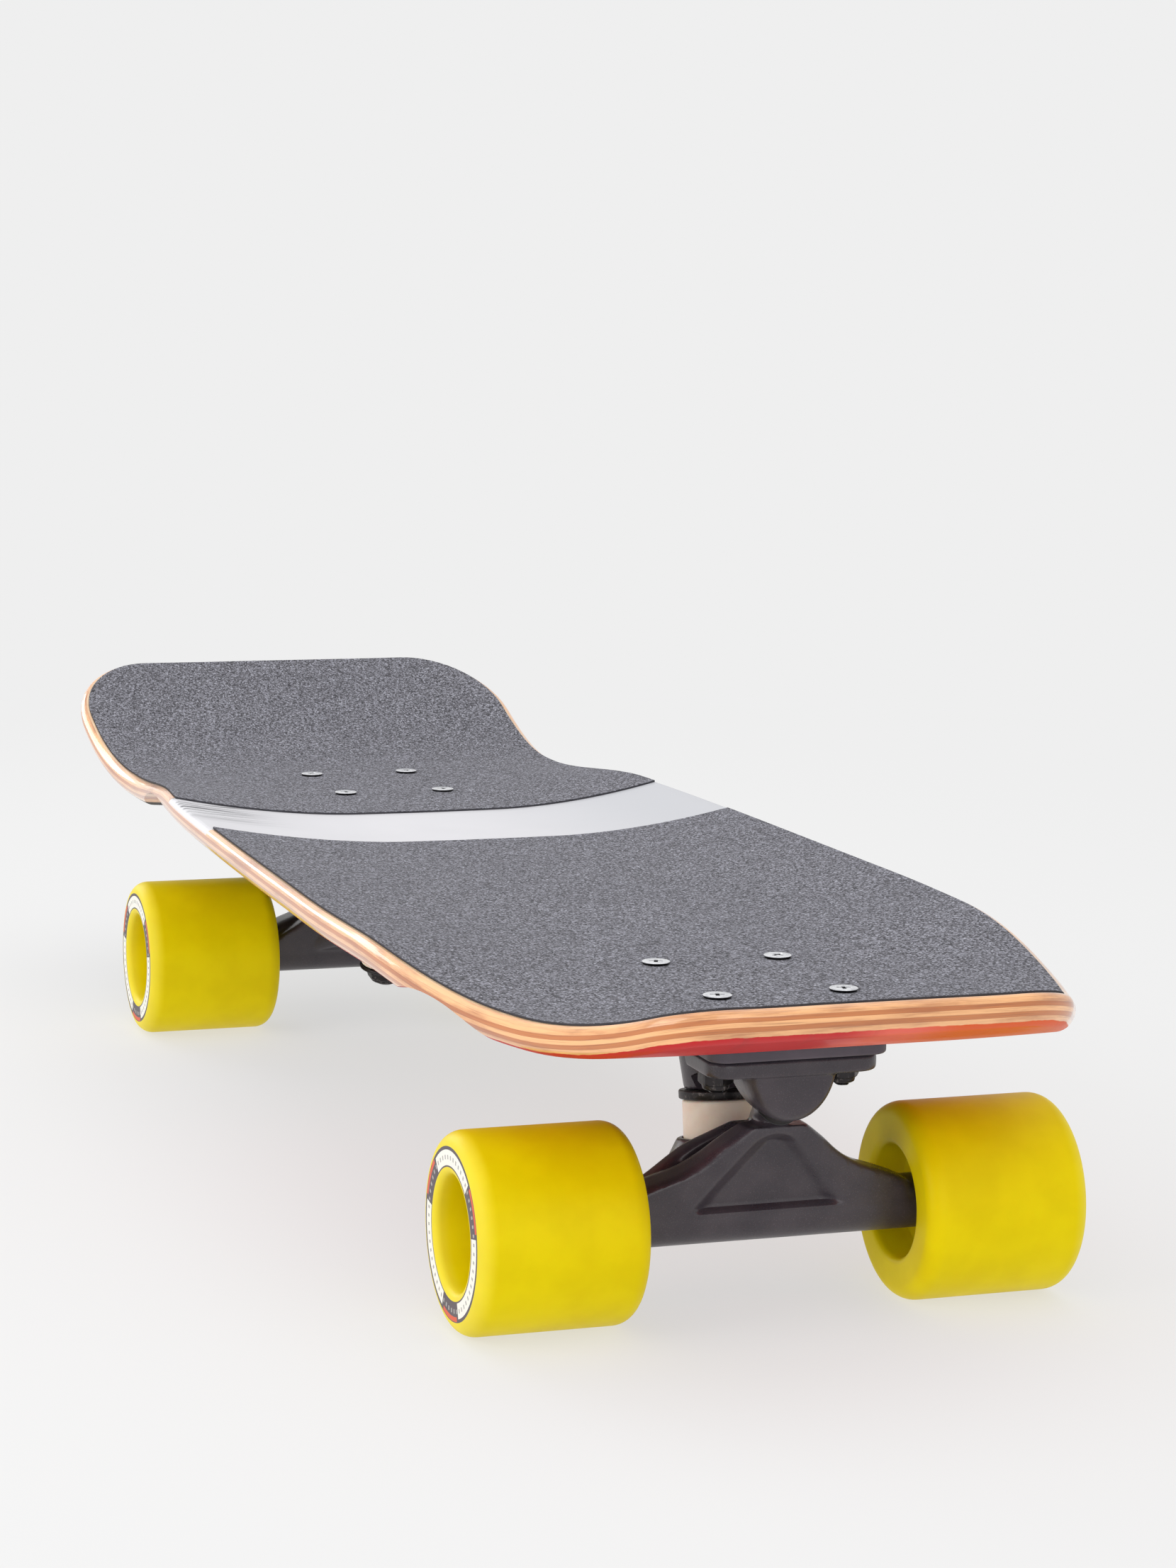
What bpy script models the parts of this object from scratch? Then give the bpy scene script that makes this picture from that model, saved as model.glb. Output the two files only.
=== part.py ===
"""A cruiser skateboard: a maple deck with grip tape, riser pads, two kingpin trucks and four wheels.

The nose points along +X, +Y is the rider's left when facing the nose, and +Z is up.
The origin is on the ground, under the middle of the board.
"""

import math

import bmesh
import bpy

MM = 0.001
GAP = 0.3 * MM
MERGE = 0.01 * MM
SMOOTH_ANGLE = math.radians(40)
HEXAGON = 6

# Deck
DECK_TIP = 353.5 * MM
DECK_TOP = 102.0 * MM
DECK_THICKNESS = 9.8 * MM
DECK_PITCH = 17 * MM
DECK_ROWS = 8
EDGE_WIDEST = 3.6 * MM
UPPER_ROUND = 3.4 * MM
LOWER_ROUND = 6.2 * MM
TAIL_CORNER = (51 * MM, 38 * MM)
NOSE_CORNER = (15 * MM, 17 * MM)
CORNER_ANGLES = (0, 22, 43, 62, 78, 90)
TAIL_BOW = 0.8 * MM
NOSE_BOW = 2.6 * MM
HALF_WIDTHS_MM = (
    (-353.5, 98.0), (-290, 98.0), (-214, 96.0), (-150, 99.2), (-100, 103.4), (-20, 106.6),
    (80, 108.9), (150, 109.5), (225, 104.7), (290, 89.4), (353.5, 60.0),
)
KICK_ANGLE = math.radians(20)
NOSE_KICK_START = 285.5 * MM
NOSE_KICK_RADIUS = 150 * MM
TAIL_KICK_START = 226.5 * MM
TAIL_KICK_RADIUS = 200 * MM
CONCAVE_RISE = 6.9 * MM
CONCAVE_REST = 0.8 * MM
CONCAVE_FLAT_HALF = 30 * MM
CONCAVE_POWER = 1.8
CONCAVE_TAIL = (-219.5 * MM, 95 * MM)
CONCAVE_NOSE = (280.5 * MM, 105 * MM)
WELL_AT = ((237 * MM, 105 * MM), (-153 * MM, 100 * MM))
WELL_DEPTH = 6.0 * MM
WELL_SPHERE = 95 * MM
WELL_REACH = 45 * MM
WELL_RINGS = 5
WELL_STEPS = 24

# Grip tape, in two sheets with a bare lacquered band between them
GRIP_THICKNESS = 0.8 * MM
GRIP_INSET = 4.0 * MM
BAND_REAR = (-99.5 * MM, 12 * MM)
BAND_FRONT = (-26.5 * MM, 9 * MM)
BAND_BOW_AT = 100 * MM
BAND_FADE = 90 * MM

# Trucks and their bolts
TRUCK_AT = {"front": 247.0 * MM, "rear": -176.0 * MM}
BOLT_SPACING_X = 53.98 * MM
BOLT_SPACING_Y = 41.28 * MM
BOLT_RADIUS = 2.4 * MM
BOLT_HOLE_RADIUS = 2.8 * MM
BOLT_HEAD_RADIUS = 4.85 * MM
BOLT_HEAD_TOP = 103.9 * MM
BOLT_HEAD_RIM = 103.3 * MM
BOLT_CROWN = (3.9 * MM, 103.8 * MM)
BOLT_END = 73.6 * MM
BOLT_STEPS = 10
BOLT_CUT_ABOVE = 1.0 * MM
BOLT_CUTTER_STEPS = 12
NUT_FLATS = 9.5 * MM
NUT_HEIGHT = 5.6 * MM
RISER_SIZE = (92 * MM, 58 * MM, 5.6 * MM)
RISER_CORNER = 6 * MM
RISER_EDGE = 0.8 * MM
FLANGE_REAR = -41.0 * MM
FLANGE_FRONT = 42.6 * MM
FLANGE_WIDTH = 55.4 * MM
FLANGE_THICKNESS = 5.4 * MM
FLANGE_CORNER = 7 * MM
FLANGE_EDGE = 1.2 * MM

# Kingpin stack: heights along the kingpin, measured from the middle of the hanger's ring
RING_CENTRE = (-18.8 * MM, 42.5 * MM)
KINGPIN_LEAN = math.radians(9)
KINGPIN_RADIUS = 4.76 * MM
KINGPIN_END = -21.6 * MM
KINGPIN_HEAD = (36.8 * MM, 42.0 * MM)
KINGPIN_HEAD_FLATS = 14.2 * MM
KINGPIN_NUT = (-20.6 * MM, -15.3 * MM)
KINGPIN_BORE = 5.2 * MM
KINGPIN_STEPS = 14
KINGPIN_CUT_TOP = 60 * MM
KINGPIN_CUT_BELOW = 1.0 * MM
KINGPIN_CUTTER_STEPS = 16
BOSS_BOTTOM = 20.8 * MM
BOSS_RADII = (11.5 * MM, 14.0 * MM)
BOSS_SINK = 2.2 * MM
WASHER_BOARD = (17.5 * MM, 20.5 * MM)
WASHER_BOARD_RADIUS = 13.3 * MM
WASHER_ROAD = (-15.0 * MM, -13.5 * MM)
WASHER_ROAD_RADIUS = 11.0 * MM
BUSHING_BOARD = (4.05 * MM, 17.2 * MM)
BUSHING_BOARD_RADIUS = 12.2 * MM
BUSHING_BOARD_RIM = 1.5 * MM
BUSHING_ROAD = (-13.2 * MM, -4.05 * MM)
BUSHING_ROAD_RADII = (9.8 * MM, 12.0 * MM)
BUSHING_ROAD_RIM = 1.0 * MM
BUSHING_END_SCALE = 0.96
STACK_STEPS = 18
RING_HEIGHT = 10.5 * MM
RING_RADIUS = 17.6 * MM
RING_TOP_RADIUS = 14.2 * MM
RING_BOTTOM_RADIUS = 15.6 * MM
RING_WIDEST = -1.0 * MM
RING_HOLE = 7.6 * MM
RING_SEAT = (12.8 * MM, 3.75 * MM)
BOSS_STEPS = 24
RING_BORE_STEPS = 20

# Pivot: the hanger's pin turns in a cup on the steering axis, which runs from the ring to this point
PIVOT_POINT = (30.0 * MM, 71.0 * MM)
PIVOT_PIN_RADIUS = 4.4 * MM
PIVOT_PIN_TIP = 3.2 * MM
PIVOT_PIN_END_RADIUS = 3.1 * MM
PIVOT_PIN_END = 0.8 * MM
PIVOT_PIN_TAPER = 3.0 * MM
PIVOT_SHOULDER = 5.5 * MM
PIVOT_STEM_RADII = (6.8 * MM, 7.4 * MM)
PIVOT_STEM_LENGTH = 14 * MM
PIVOT_STEPS = 16
CUP_SPAN = (-3.5 * MM, 5.0 * MM)
CUP_RADIUS = 7.0 * MM
CUP_WALL = 2.2 * MM
CUP_FLOOR = 1.0 * MM
CUP_CUT_BELOW = 20 * MM
CUP_CUTTER_STEPS = 20
HOUSING_HALF_WIDTH = 15 * MM
HOUSING_BOTTOM = 65.0 * MM
HOUSING_FULLNESS = 0.8
HOUSING_ARC_STEPS = 12
HOUSING_TRIM = (60 * MM, 60 * MM, 40 * MM)
HOUSING_TRIM_CORNER = 1.0 * MM

# The housing's sections: place along the board, and size against its widest section
HOUSING_SECTIONS = ((16 * MM, 1.0), (33 * MM, 1.0), (39 * MM, 0.94), (41 * MM, 0.82))

# The hanger's webs, as level sections: height, place along the board, half length and half width
WEB_SECTIONS_MM = (
    (31.4, 12.1, 8.2, 51.5), (39.0, 13.8, 8.2, 48.5), (43.5, 15.4, 7.8, 39.0), (47.0, 17.0, 7.4, 29.5),
    (51.5, 18.8, 7.0, 22.3), (57.0, 21.2, 6.4, 16.0), (61.8, 23.2, 5.2, 10.0),
)
REAR_WEB_SECTIONS_MM = (
    (31.4, 8.0, 4.8, 49.0), (39.0, 5.6, 4.4, 41.0), (43.6, 4.6, 3.9, 33.5),
    (51.0, 4.2, 3.6, 22.6), (55.5, 5.0, 3.3, 13.0), (58.5, 6.0, 3.0, 6.5),
)
WEB_ROUNDING = 0.6

# The hanger's arms and spine, as upright sections: place along the board, half width, height and half height
ARM_SECTIONS_MM = (
    (-15.0, 12.5, 42.4, 3.9), (-6.0, 16.5, 41.0, 4.6), (3.0, 28.0, 37.5, 5.4), (12.0, 42.0, 33.0, 6.0),
)
SPINE_SECTIONS_MM = (
    (-8.0, 7.0, 43.5, 4.5), (2.0, 6.0, 48.0, 7.0), (12.0, 6.0, 53.0, 8.0), (22.0, 6.0, 55.0, 5.0),
)
ARM_ROUNDING = 3.5 * MM

# The recess in the hanger's outboard face: its outline, then the sloping plane that it is cut from
RECESS_OUTLINE_MM = ((-20.5, 36.5), (20.5, 36.5), (3.0, 54.0), (-3.0, 54.0))
RECESS_MIDDLE = 42.0 * MM
RECESS_PLANE = (21.9 * MM, 38.0 * MM)
RECESS_SLOPE = 0.34
RECESS_FLOOR = (-2.4 * MM, 0.82)
RECESS_MOUTH = (3.0 * MM, 1.12)

# Hanger, axle and wheels
WHEEL_STEPS = 26
WHEEL_RADIUS = 31.5 * MM
AXLE_HEIGHT = WHEEL_RADIUS * math.cos(math.pi / WHEEL_STEPS)
AXLE_OUTBOARD = 12.1 * MM
AXLE_RADIUS = 3.97 * MM
AXLE_HALF = 89.0 * MM
AXLE_STEPS = 12
HANGER_TUBE_RADIUS = 8.6 * MM
HANGER_HALF = 54.7 * MM
HANGER_STEPS = 20
WHEEL_OUTER_FACE = 99.3 * MM
WHEEL_WIDTH = 54.3 * MM
WHEEL_MIDDLE = WHEEL_OUTER_FACE - WHEEL_WIDTH / 2
LIP_RADIAL = 4.9 * MM
LIP_AXIAL = 5.8 * MM
LIP_STEPS = 2
HUB_MOUTH = 18.2 * MM
HUB_FLOOR = 16.8 * MM
CORE_MIDDLE = 68.0 * MM
CORE_HALF = 12.0 * MM
BEARING_RADIUS = 11.0 * MM
BEARING_WIDTH = 7.0 * MM
BEARING_BORE = 4.3 * MM
BEARING_LEDGE = 2.5 * MM
BEARING_STEPS = 12
RACE_RADIUS = 5.8 * MM
RACE_REACH = 0.9 * MM
AXLE_NUT_FLATS = 12.7 * MM
AXLE_NUT_HEIGHT = 6.6 * MM

# Finishes: colour, roughness and metallic value
MAPLE = ((0.87, 0.68, 0.52), 0.45, 0.0)
GRIP = ((0.22, 0.22, 0.23), 0.95, 0.0)
BLACK_PLASTIC = ((0.04, 0.04, 0.045), 0.55, 0.0)
BLACK_METAL = ((0.06, 0.055, 0.06), 0.45, 0.6)
STEEL = ((0.62, 0.62, 0.64), 0.3, 1.0)
DARK_STEEL = ((0.12, 0.12, 0.13), 0.35, 1.0)
CREAM = ((0.78, 0.70, 0.62), 0.5, 0.0)
YELLOW = ((0.82, 0.60, 0.0), 0.3, 0.0)

for old in list(bpy.data.objects):
    bpy.data.objects.remove(old, do_unlink=True)

board = bpy.data.collections.new("cruiser_skateboard")
cutters = bpy.data.collections.new("cutters")
bolt_cutters = bpy.data.collections.new("bolt_cutters")
well_cutters = bpy.data.collections.new("well_cutters")
bpy.context.scene.collection.children.link(board)
bpy.context.scene.collection.children.link(cutters)
cutters.children.link(bolt_cutters)
cutters.children.link(well_cutters)


def add_object(
    name, mesh, finish=None, parent=None, location=(0, 0, 0), rotation=(0, 0, 0), collection=cutters
):
    """Links a mesh as a part, or as a cutter where it has no finish."""
    obj = bpy.data.objects.new(name, mesh)
    obj.parent = parent
    obj.location = location
    obj.rotation_euler = rotation
    if finish:
        board.objects.link(obj)
        colour, roughness, metallic = finish
        material = bpy.data.materials.new(name)
        material.use_nodes = True
        shader = material.node_tree.nodes["Principled BSDF"]
        shader.inputs["Base Color"].default_value = (*colour, 1)
        shader.inputs["Roughness"].default_value = roughness
        shader.inputs["Metallic"].default_value = metallic
        mesh.materials.append(material)
    else:
        collection.objects.link(obj)
        obj.hide_render = True
        obj.display_type = "WIRE"
    return obj


def add_empty(name, parent=None, location=(0, 0, 0), rotation=(0, 0, 0)):
    empty = bpy.data.objects.new(name, None)
    board.objects.link(empty)
    empty.parent = parent
    empty.location = location
    empty.rotation_euler = rotation
    return empty


def mesh_from(name, bm):
    """Turns a closed bmesh into a mesh that faces outwards and is shaded smooth."""
    bmesh.ops.recalc_face_normals(bm, faces=bm.faces)
    mesh = bpy.data.meshes.new(name)
    bm.to_mesh(mesh)
    bm.free()
    mesh.shade_smooth()
    mesh.set_sharp_from_angle(angle=SMOOTH_ANGLE)
    return mesh


def turned(name, profile, steps, finish=None, **place):
    """A solid turned about local Z. The profile runs down its outer side, and a ring's profile closes."""
    mesh = bpy.data.meshes.new(name)
    last = len(profile) - 1
    edges = [(i, i + 1) for i in range(last)]
    if profile[0][0] > 0:
        edges.append((last, 0))
    mesh.from_pydata([(r, 0, z) for r, z in profile], edges, [])
    obj = add_object(name, mesh, finish, **place)
    screw = obj.modifiers.new("turn", "SCREW")
    screw.steps = steps
    screw.render_steps = steps
    screw.use_merge_vertices = True
    screw.merge_threshold = MERGE
    return obj


def block(name, size, centre, corner, edge, finish=None, **place):
    """A box with rounded upright corners, and softer edges round its faces."""
    bm = bmesh.new()
    bmesh.ops.create_cube(bm, size=1)
    bmesh.ops.scale(bm, vec=size, verts=bm.verts)
    bmesh.ops.translate(bm, vec=centre, verts=bm.verts)
    upright = [e for e in bm.edges if abs(e.verts[0].co.z - e.verts[1].co.z) > size[2] / 2]
    bmesh.ops.bevel(bm, geom=upright, offset=corner, segments=3, affect="EDGES", profile=0.5)
    if edge:
        rims = [e for e in bm.edges if abs(e.verts[0].co.z - e.verts[1].co.z) < MERGE]
        bmesh.ops.bevel(bm, geom=rims, offset=edge, segments=1, affect="EDGES")
    return add_object(name, mesh_from(name, bm), finish, **place)


def loft(name, rings, finish=None, **place):
    """Skins a row of rings that have the same number of points, and caps both ends."""
    bm = bmesh.new()
    loops = [[bm.verts.new(point) for point in ring] for ring in rings]
    count = len(loops[0])
    for low, high in zip(loops, loops[1:]):
        for i in range(count):
            bm.faces.new((low[i], low[(i + 1) % count], high[(i + 1) % count], high[i]))
    bm.faces.new(reversed(loops[0]))
    bm.faces.new(loops[-1])
    return add_object(name, mesh_from(name, bm), finish, **place)


def boolean(obj, operation, *others):
    for other in others:
        modifier = obj.modifiers.new(f"{operation.lower()}_{other.name}", "BOOLEAN")
        modifier.operation = operation
        if isinstance(other, bpy.types.Collection):
            modifier.operand_type = "COLLECTION"
            modifier.collection = other
        else:
            modifier.object = other
    return obj


def ease(t):
    """Runs smoothly from 0 to 1 as t does."""
    t = min(max(t, 0.0), 1.0)
    return t * t * (3 - 2 * t)


# The deck's outline, kicks and concave, which its grip tape follows

def half_width(x):
    """The outline before its corners are rounded: a smooth curve through the listed half-widths."""
    points = [(px * MM, py * MM) for px, py in HALF_WIDTHS_MM]
    x = min(max(x, points[0][0]), points[-1][0])
    slopes = [(b[1] - a[1]) / (b[0] - a[0]) for a, b in zip(points, points[1:])]
    tangents = [slopes[0]] + [(a + b) / 2 for a, b in zip(slopes, slopes[1:])] + [slopes[-1]]
    i = max(k for k in range(len(slopes)) if x >= points[k][0])
    (x0, y0), (x1, y1) = points[i], points[i + 1]
    span = x1 - x0
    t = (x - x0) / span
    start = (1 + 2 * t) * (1 - t) ** 2 * y0 + t * (1 - t) ** 2 * span * tangents[i]
    return start + t * t * (3 - 2 * t) * y1 + t * t * (t - 1) * span * tangents[i + 1]


def kick_rise(run, radius):
    """The height gained after a run into a kick: an arc, then a straight slope."""
    if run <= 0:
        return 0.0
    arc = radius * math.sin(KICK_ANGLE)
    if run < arc:
        return radius - math.sqrt(radius * radius - run * run)
    return radius * (1 - math.cos(KICK_ANGLE)) + (run - arc) * math.tan(KICK_ANGLE)


def deck_height(x, y):
    """The height of the deck's top surface."""
    nose_kick = kick_rise(x - NOSE_KICK_START, NOSE_KICK_RADIUS)
    tail_kick = kick_rise(-x - TAIL_KICK_START, TAIL_KICK_RADIUS)
    tail_start, tail_run = CONCAVE_TAIL
    nose_end, nose_run = CONCAVE_NOSE
    fullness = ease((x - tail_start) / tail_run) * ease((nose_end - x) / nose_run)
    rim = CONCAVE_REST + CONCAVE_RISE * fullness
    across = max(0.0, (abs(y) - CONCAVE_FLAT_HALF) / (half_width(x) - CONCAVE_FLAT_HALF))
    return DECK_TOP + nose_kick + tail_kick + rim * across ** CONCAVE_POWER


def corner_of(x):
    """The run and the depth of the elliptical corners at the tip that x is nearer to, and the tip's bow."""
    return (*NOSE_CORNER, NOSE_BOW) if x > 0 else (*TAIL_CORNER, TAIL_BOW)


def places_along(start, end):
    """Columns for a sheet: evenly spaced, and closing up round the corners.

    Each is a place on the full outline and how far it moves in as the outline is inset.
    """
    steps = range(math.ceil(start / DECK_PITCH), math.floor(end / DECK_PITCH) + 1)
    even = [step * DECK_PITCH for step in steps]
    places = [(x, 0) for x in even if abs(x) < DECK_TIP - corner_of(x)[0]]
    for tip in (-1, 1):
        run = corner_of(tip)[0]
        for angle in CORNER_ANGLES:
            turn = math.sin(math.radians(angle))
            places.append((tip * (DECK_TIP - run * (1 - turn)), tip * turn))
    inside = sorted(place for place in places if start - MM < place[0] < end + MM)
    if abs(start) < DECK_TIP:
        inside = [(start, 0)] + [place for place in inside if place[0] > start + DECK_PITCH / 3]
    if abs(end) < DECK_TIP:
        inside = [place for place in inside if place[0] < end - DECK_PITCH / 3] + [(end, 0)]
    return inside


def sheet_point(place, across, inset, lift, start, end, borders):
    """A point of a sheet: across is from -1 to 1 between its edges, and lift is its height over the deck."""
    base, shrink = place
    x = base - shrink * inset
    run, depth, tip_bow = corner_of(x)
    turn = abs(shrink)
    y = across * (half_width(x) - inset - (depth - inset) * (1 - math.sqrt(1 - turn * turn)))
    near_tip = ease((abs(x) - DECK_TIP + 3 * run) / (3 * run))
    shift = -math.copysign(tip_bow * (y / half_width(x)) ** 2, x) * near_tip
    for border, away in zip(borders, (x - start, end - x)):
        if border:
            shift -= border[1] * (y / BAND_BOW_AT) ** 2 * (1 - ease(away / BAND_FADE))
    x += shift
    return x, y, deck_height(x, y) + lift


def deck_sheet(name, start, end, inset, upper, lower, borders=(None, None)):
    """A solid sheet with the deck's curves, made of an upper and a lower face that meet at their outer edge.

    Each face is given as its rings, from the outer edge in: how far in, and how high over the deck's top.
    A border is where a sheet ends in a bowed cut across the board.
    """
    places = places_along(start, end)
    columns = len(places) - 1
    bm = bmesh.new()
    for rings in (upper, lower):
        rim = len(rings) - 1
        wide = columns + 2 * rim
        tall = DECK_ROWS + 2 * rim
        grid = bmesh.ops.create_grid(bm, x_segments=wide, y_segments=tall, size=1)
        for vert in grid["verts"]:
            i = round((vert.co.x + 1) / 2 * wide)
            j = round((vert.co.y + 1) / 2 * tall)
            ring_inset, lift = rings[min(i, j, wide - i, tall - j, rim)]
            place = places[min(max(i - rim, 0), columns)]
            across = min(max(j - rim, 0), DECK_ROWS) / DECK_ROWS * 2 - 1
            vert.co = sheet_point(place, across, inset + ring_inset, lift, start, end, borders)
    bmesh.ops.remove_doubles(bm, verts=bm.verts, dist=MERGE / 10)
    return mesh_from(name, bm)


def quarter_round(steps, inset, start, end):
    """Rings round an edge, from its widest height to a face."""
    turns = [math.pi / 2 * step / steps for step in range(steps + 1)]
    return [(inset * (1 - math.cos(turn)), start + (end - start) * math.sin(turn)) for turn in turns]


# Deck, with a rounded edge, four wheel wells in its underside and eight bolt holes

upper_edge = quarter_round(2, UPPER_ROUND, -EDGE_WIDEST, 0)
lower_edge = quarter_round(3, LOWER_ROUND, -EDGE_WIDEST, -DECK_THICKNESS)
deck = add_object("deck", deck_sheet("deck", -DECK_TIP, DECK_TIP, 0, upper_edge, lower_edge), MAPLE)

for well_x, well_y in WELL_AT:
    top = deck_height(well_x, half_width(well_x)) - DECK_THICKNESS + WELL_DEPTH
    radii = [WELL_REACH * ring / WELL_RINGS for ring in range(WELL_RINGS + 1)]
    lens = [(r, math.sqrt(WELL_SPHERE**2 - r * r) - WELL_SPHERE) for r in radii]
    lens.append((0, lens[-1][1] - WELL_DEPTH))
    for side in (-1, 1):
        well_name = f"well_{well_x:.2f}_{side}"
        turned(well_name, lens, WELL_STEPS, location=(well_x, side * well_y, top), collection=well_cutters)
boolean(deck, "DIFFERENCE", well_cutters, bolt_cutters)

# Grip tape

grip_upper = [(0, GAP), (0, GAP + GRIP_THICKNESS)]
grip_lower = [(0, GAP)]
for name, start, end, borders in (
    ("griptape_front", BAND_FRONT[0], DECK_TIP, (BAND_FRONT, None)),
    ("griptape_rear", -DECK_TIP, BAND_REAR[0], (None, BAND_REAR)),
):
    sheet = deck_sheet(name, start, end, GRIP_INSET, grip_upper, grip_lower, borders)
    boolean(add_object(name, sheet, GRIP), "DIFFERENCE", bolt_cutters)


# Trucks. Each is built about the middle of its bolt holes, with local +X pointing outboard.

riser_top = DECK_TOP - DECK_THICKNESS - GAP
flange_top = riser_top - RISER_SIZE[2] - GAP
flange_bottom = flange_top - FLANGE_THICKNESS
steer_run = PIVOT_POINT[0] - RING_CENTRE[0]
steer_rise = PIVOT_POINT[1] - RING_CENTRE[1]
steer_tilt = math.atan2(steer_run, steer_rise)
pivot_distance = math.hypot(steer_run, steer_rise)
axle_at = (AXLE_OUTBOARD - RING_CENTRE[0], 0, AXLE_HEIGHT - RING_CENTRE[1])
across_board = (math.pi / 2, 0, 0)


def hex_radius(flats):
    """From a hexagon's middle to its corners."""
    return flats / 2 / math.cos(math.pi / HEXAGON)


def rod_profile(radius, bottom, top):
    return [(0, top), (radius, top), (radius, bottom), (0, bottom)]


def ring_profile(outer, inner, bottom, top):
    return [(outer, top), (outer, bottom), (inner, bottom), (inner, top)]


def add_bolts(end, truck):
    """Four bolts with lock nuts, and the cutter that clears each one."""
    neck = BOLT_HEAD_RIM - BOLT_HEAD_RADIUS + BOLT_RADIUS
    bolt = [
        (0, BOLT_HEAD_TOP), BOLT_CROWN, (BOLT_HEAD_RADIUS, BOLT_HEAD_RIM),
        (BOLT_RADIUS, neck), (BOLT_RADIUS, BOLT_END), (0, BOLT_END),
    ]
    clear = BOLT_HEAD_RADIUS + GAP
    clear_top = BOLT_HEAD_TOP + BOLT_CUT_ABOVE
    clear_rim = BOLT_HEAD_RIM - GAP
    clear_neck = clear_rim - clear + BOLT_HOLE_RADIUS
    cutter = [
        (0, clear_top), (clear, clear_top), (clear, clear_rim),
        (BOLT_HOLE_RADIUS, clear_neck), (BOLT_HOLE_RADIUS, BOLT_END), (0, BOLT_END),
    ]
    nut_top = flange_bottom - GAP
    nut_hole = hex_radius(2 * BOLT_HOLE_RADIUS)
    nut = ring_profile(hex_radius(NUT_FLATS), nut_hole, nut_top - NUT_HEIGHT, nut_top)
    corners = ((1, 1), (1, -1), (-1, 1), (-1, -1))
    for number, (along, across) in enumerate(corners, 1):
        place = {"parent": truck, "location": (along * BOLT_SPACING_X / 2, across * BOLT_SPACING_Y / 2, 0)}
        turned(f"deck_bolt_{end}_{number}", bolt, BOLT_STEPS, STEEL, **place)
        turned(f"deck_nut_{end}_{number}", nut, HEXAGON, DARK_STEEL, **place)
        turned(f"bolt_cutter_{end}_{number}", cutter, BOLT_CUTTER_STEPS, collection=bolt_cutters, **place)


def add_baseplate(end, truck, kingpin_axis, steer_axis):
    """The flange under the riser, with the kingpin's boss and the housing of the pivot cup cast onto it."""
    size = (FLANGE_FRONT - FLANGE_REAR, FLANGE_WIDTH, FLANGE_THICKNESS)
    centre = ((FLANGE_FRONT + FLANGE_REAR) / 2, 0, flange_top - FLANGE_THICKNESS / 2)
    plate = block(f"baseplate_{end}", size, centre, FLANGE_CORNER, FLANGE_EDGE, BLACK_METAL, parent=truck)

    cast_top = flange_top - FLANGE_EDGE
    boss_top = (cast_top - RING_CENTRE[1]) / math.cos(KINGPIN_LEAN) - BOSS_SINK
    boss_profile = [(0, boss_top), (BOSS_RADII[1], boss_top), (BOSS_RADII[0], BOSS_BOTTOM), (0, BOSS_BOTTOM)]
    boss = turned(f"boss_{end}", boss_profile, BOSS_STEPS, parent=kingpin_axis)

    turns = [math.pi * i / HOUSING_ARC_STEPS for i in range(HOUSING_ARC_STEPS + 1)]
    arc = [(math.cos(turn), math.sin(turn) ** HOUSING_FULLNESS) for turn in turns]
    sections = []
    for u, scale in HOUSING_SECTIONS:
        half = HOUSING_HALF_WIDTH * scale
        drop = (cast_top - HOUSING_BOTTOM) * scale
        sections.append([(u, half * across, cast_top - drop * down) for across, down in arc])
    housing = loft(f"housing_{end}", sections, parent=truck)
    trim_centre = (0, 0, pivot_distance + CUP_SPAN[0] - HOUSING_TRIM[2] / 2)
    trim = block(f"housing_trim_{end}", HOUSING_TRIM, trim_centre, HOUSING_TRIM_CORNER, 0, parent=steer_axis)
    boolean(housing, "DIFFERENCE", trim)

    pocket_floor = KINGPIN_HEAD[0] - GAP
    pocket_radius = hex_radius(KINGPIN_HEAD_FLATS) + GAP
    bore_end = BOSS_BOTTOM - KINGPIN_CUT_BELOW
    kingpin_hole = [
        (0, KINGPIN_CUT_TOP), (pocket_radius, KINGPIN_CUT_TOP), (pocket_radius, pocket_floor),
        (KINGPIN_BORE, pocket_floor), (KINGPIN_BORE, bore_end), (0, bore_end),
    ]
    kingpin_cutter = turned(f"kingpin_cutter_{end}", kingpin_hole, KINGPIN_CUTTER_STEPS, parent=kingpin_axis)
    cup_end = pivot_distance + CUP_SPAN[1] + GAP
    cup_hole = rod_profile(CUP_RADIUS + GAP, pivot_distance - CUP_CUT_BELOW, cup_end)
    cup_cutter = turned(f"cup_cutter_{end}", cup_hole, CUP_CUTTER_STEPS, parent=steer_axis)
    boolean(plate, "UNION", boss, housing)
    boolean(plate, "DIFFERENCE", kingpin_cutter, cup_cutter, bolt_cutters)


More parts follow.
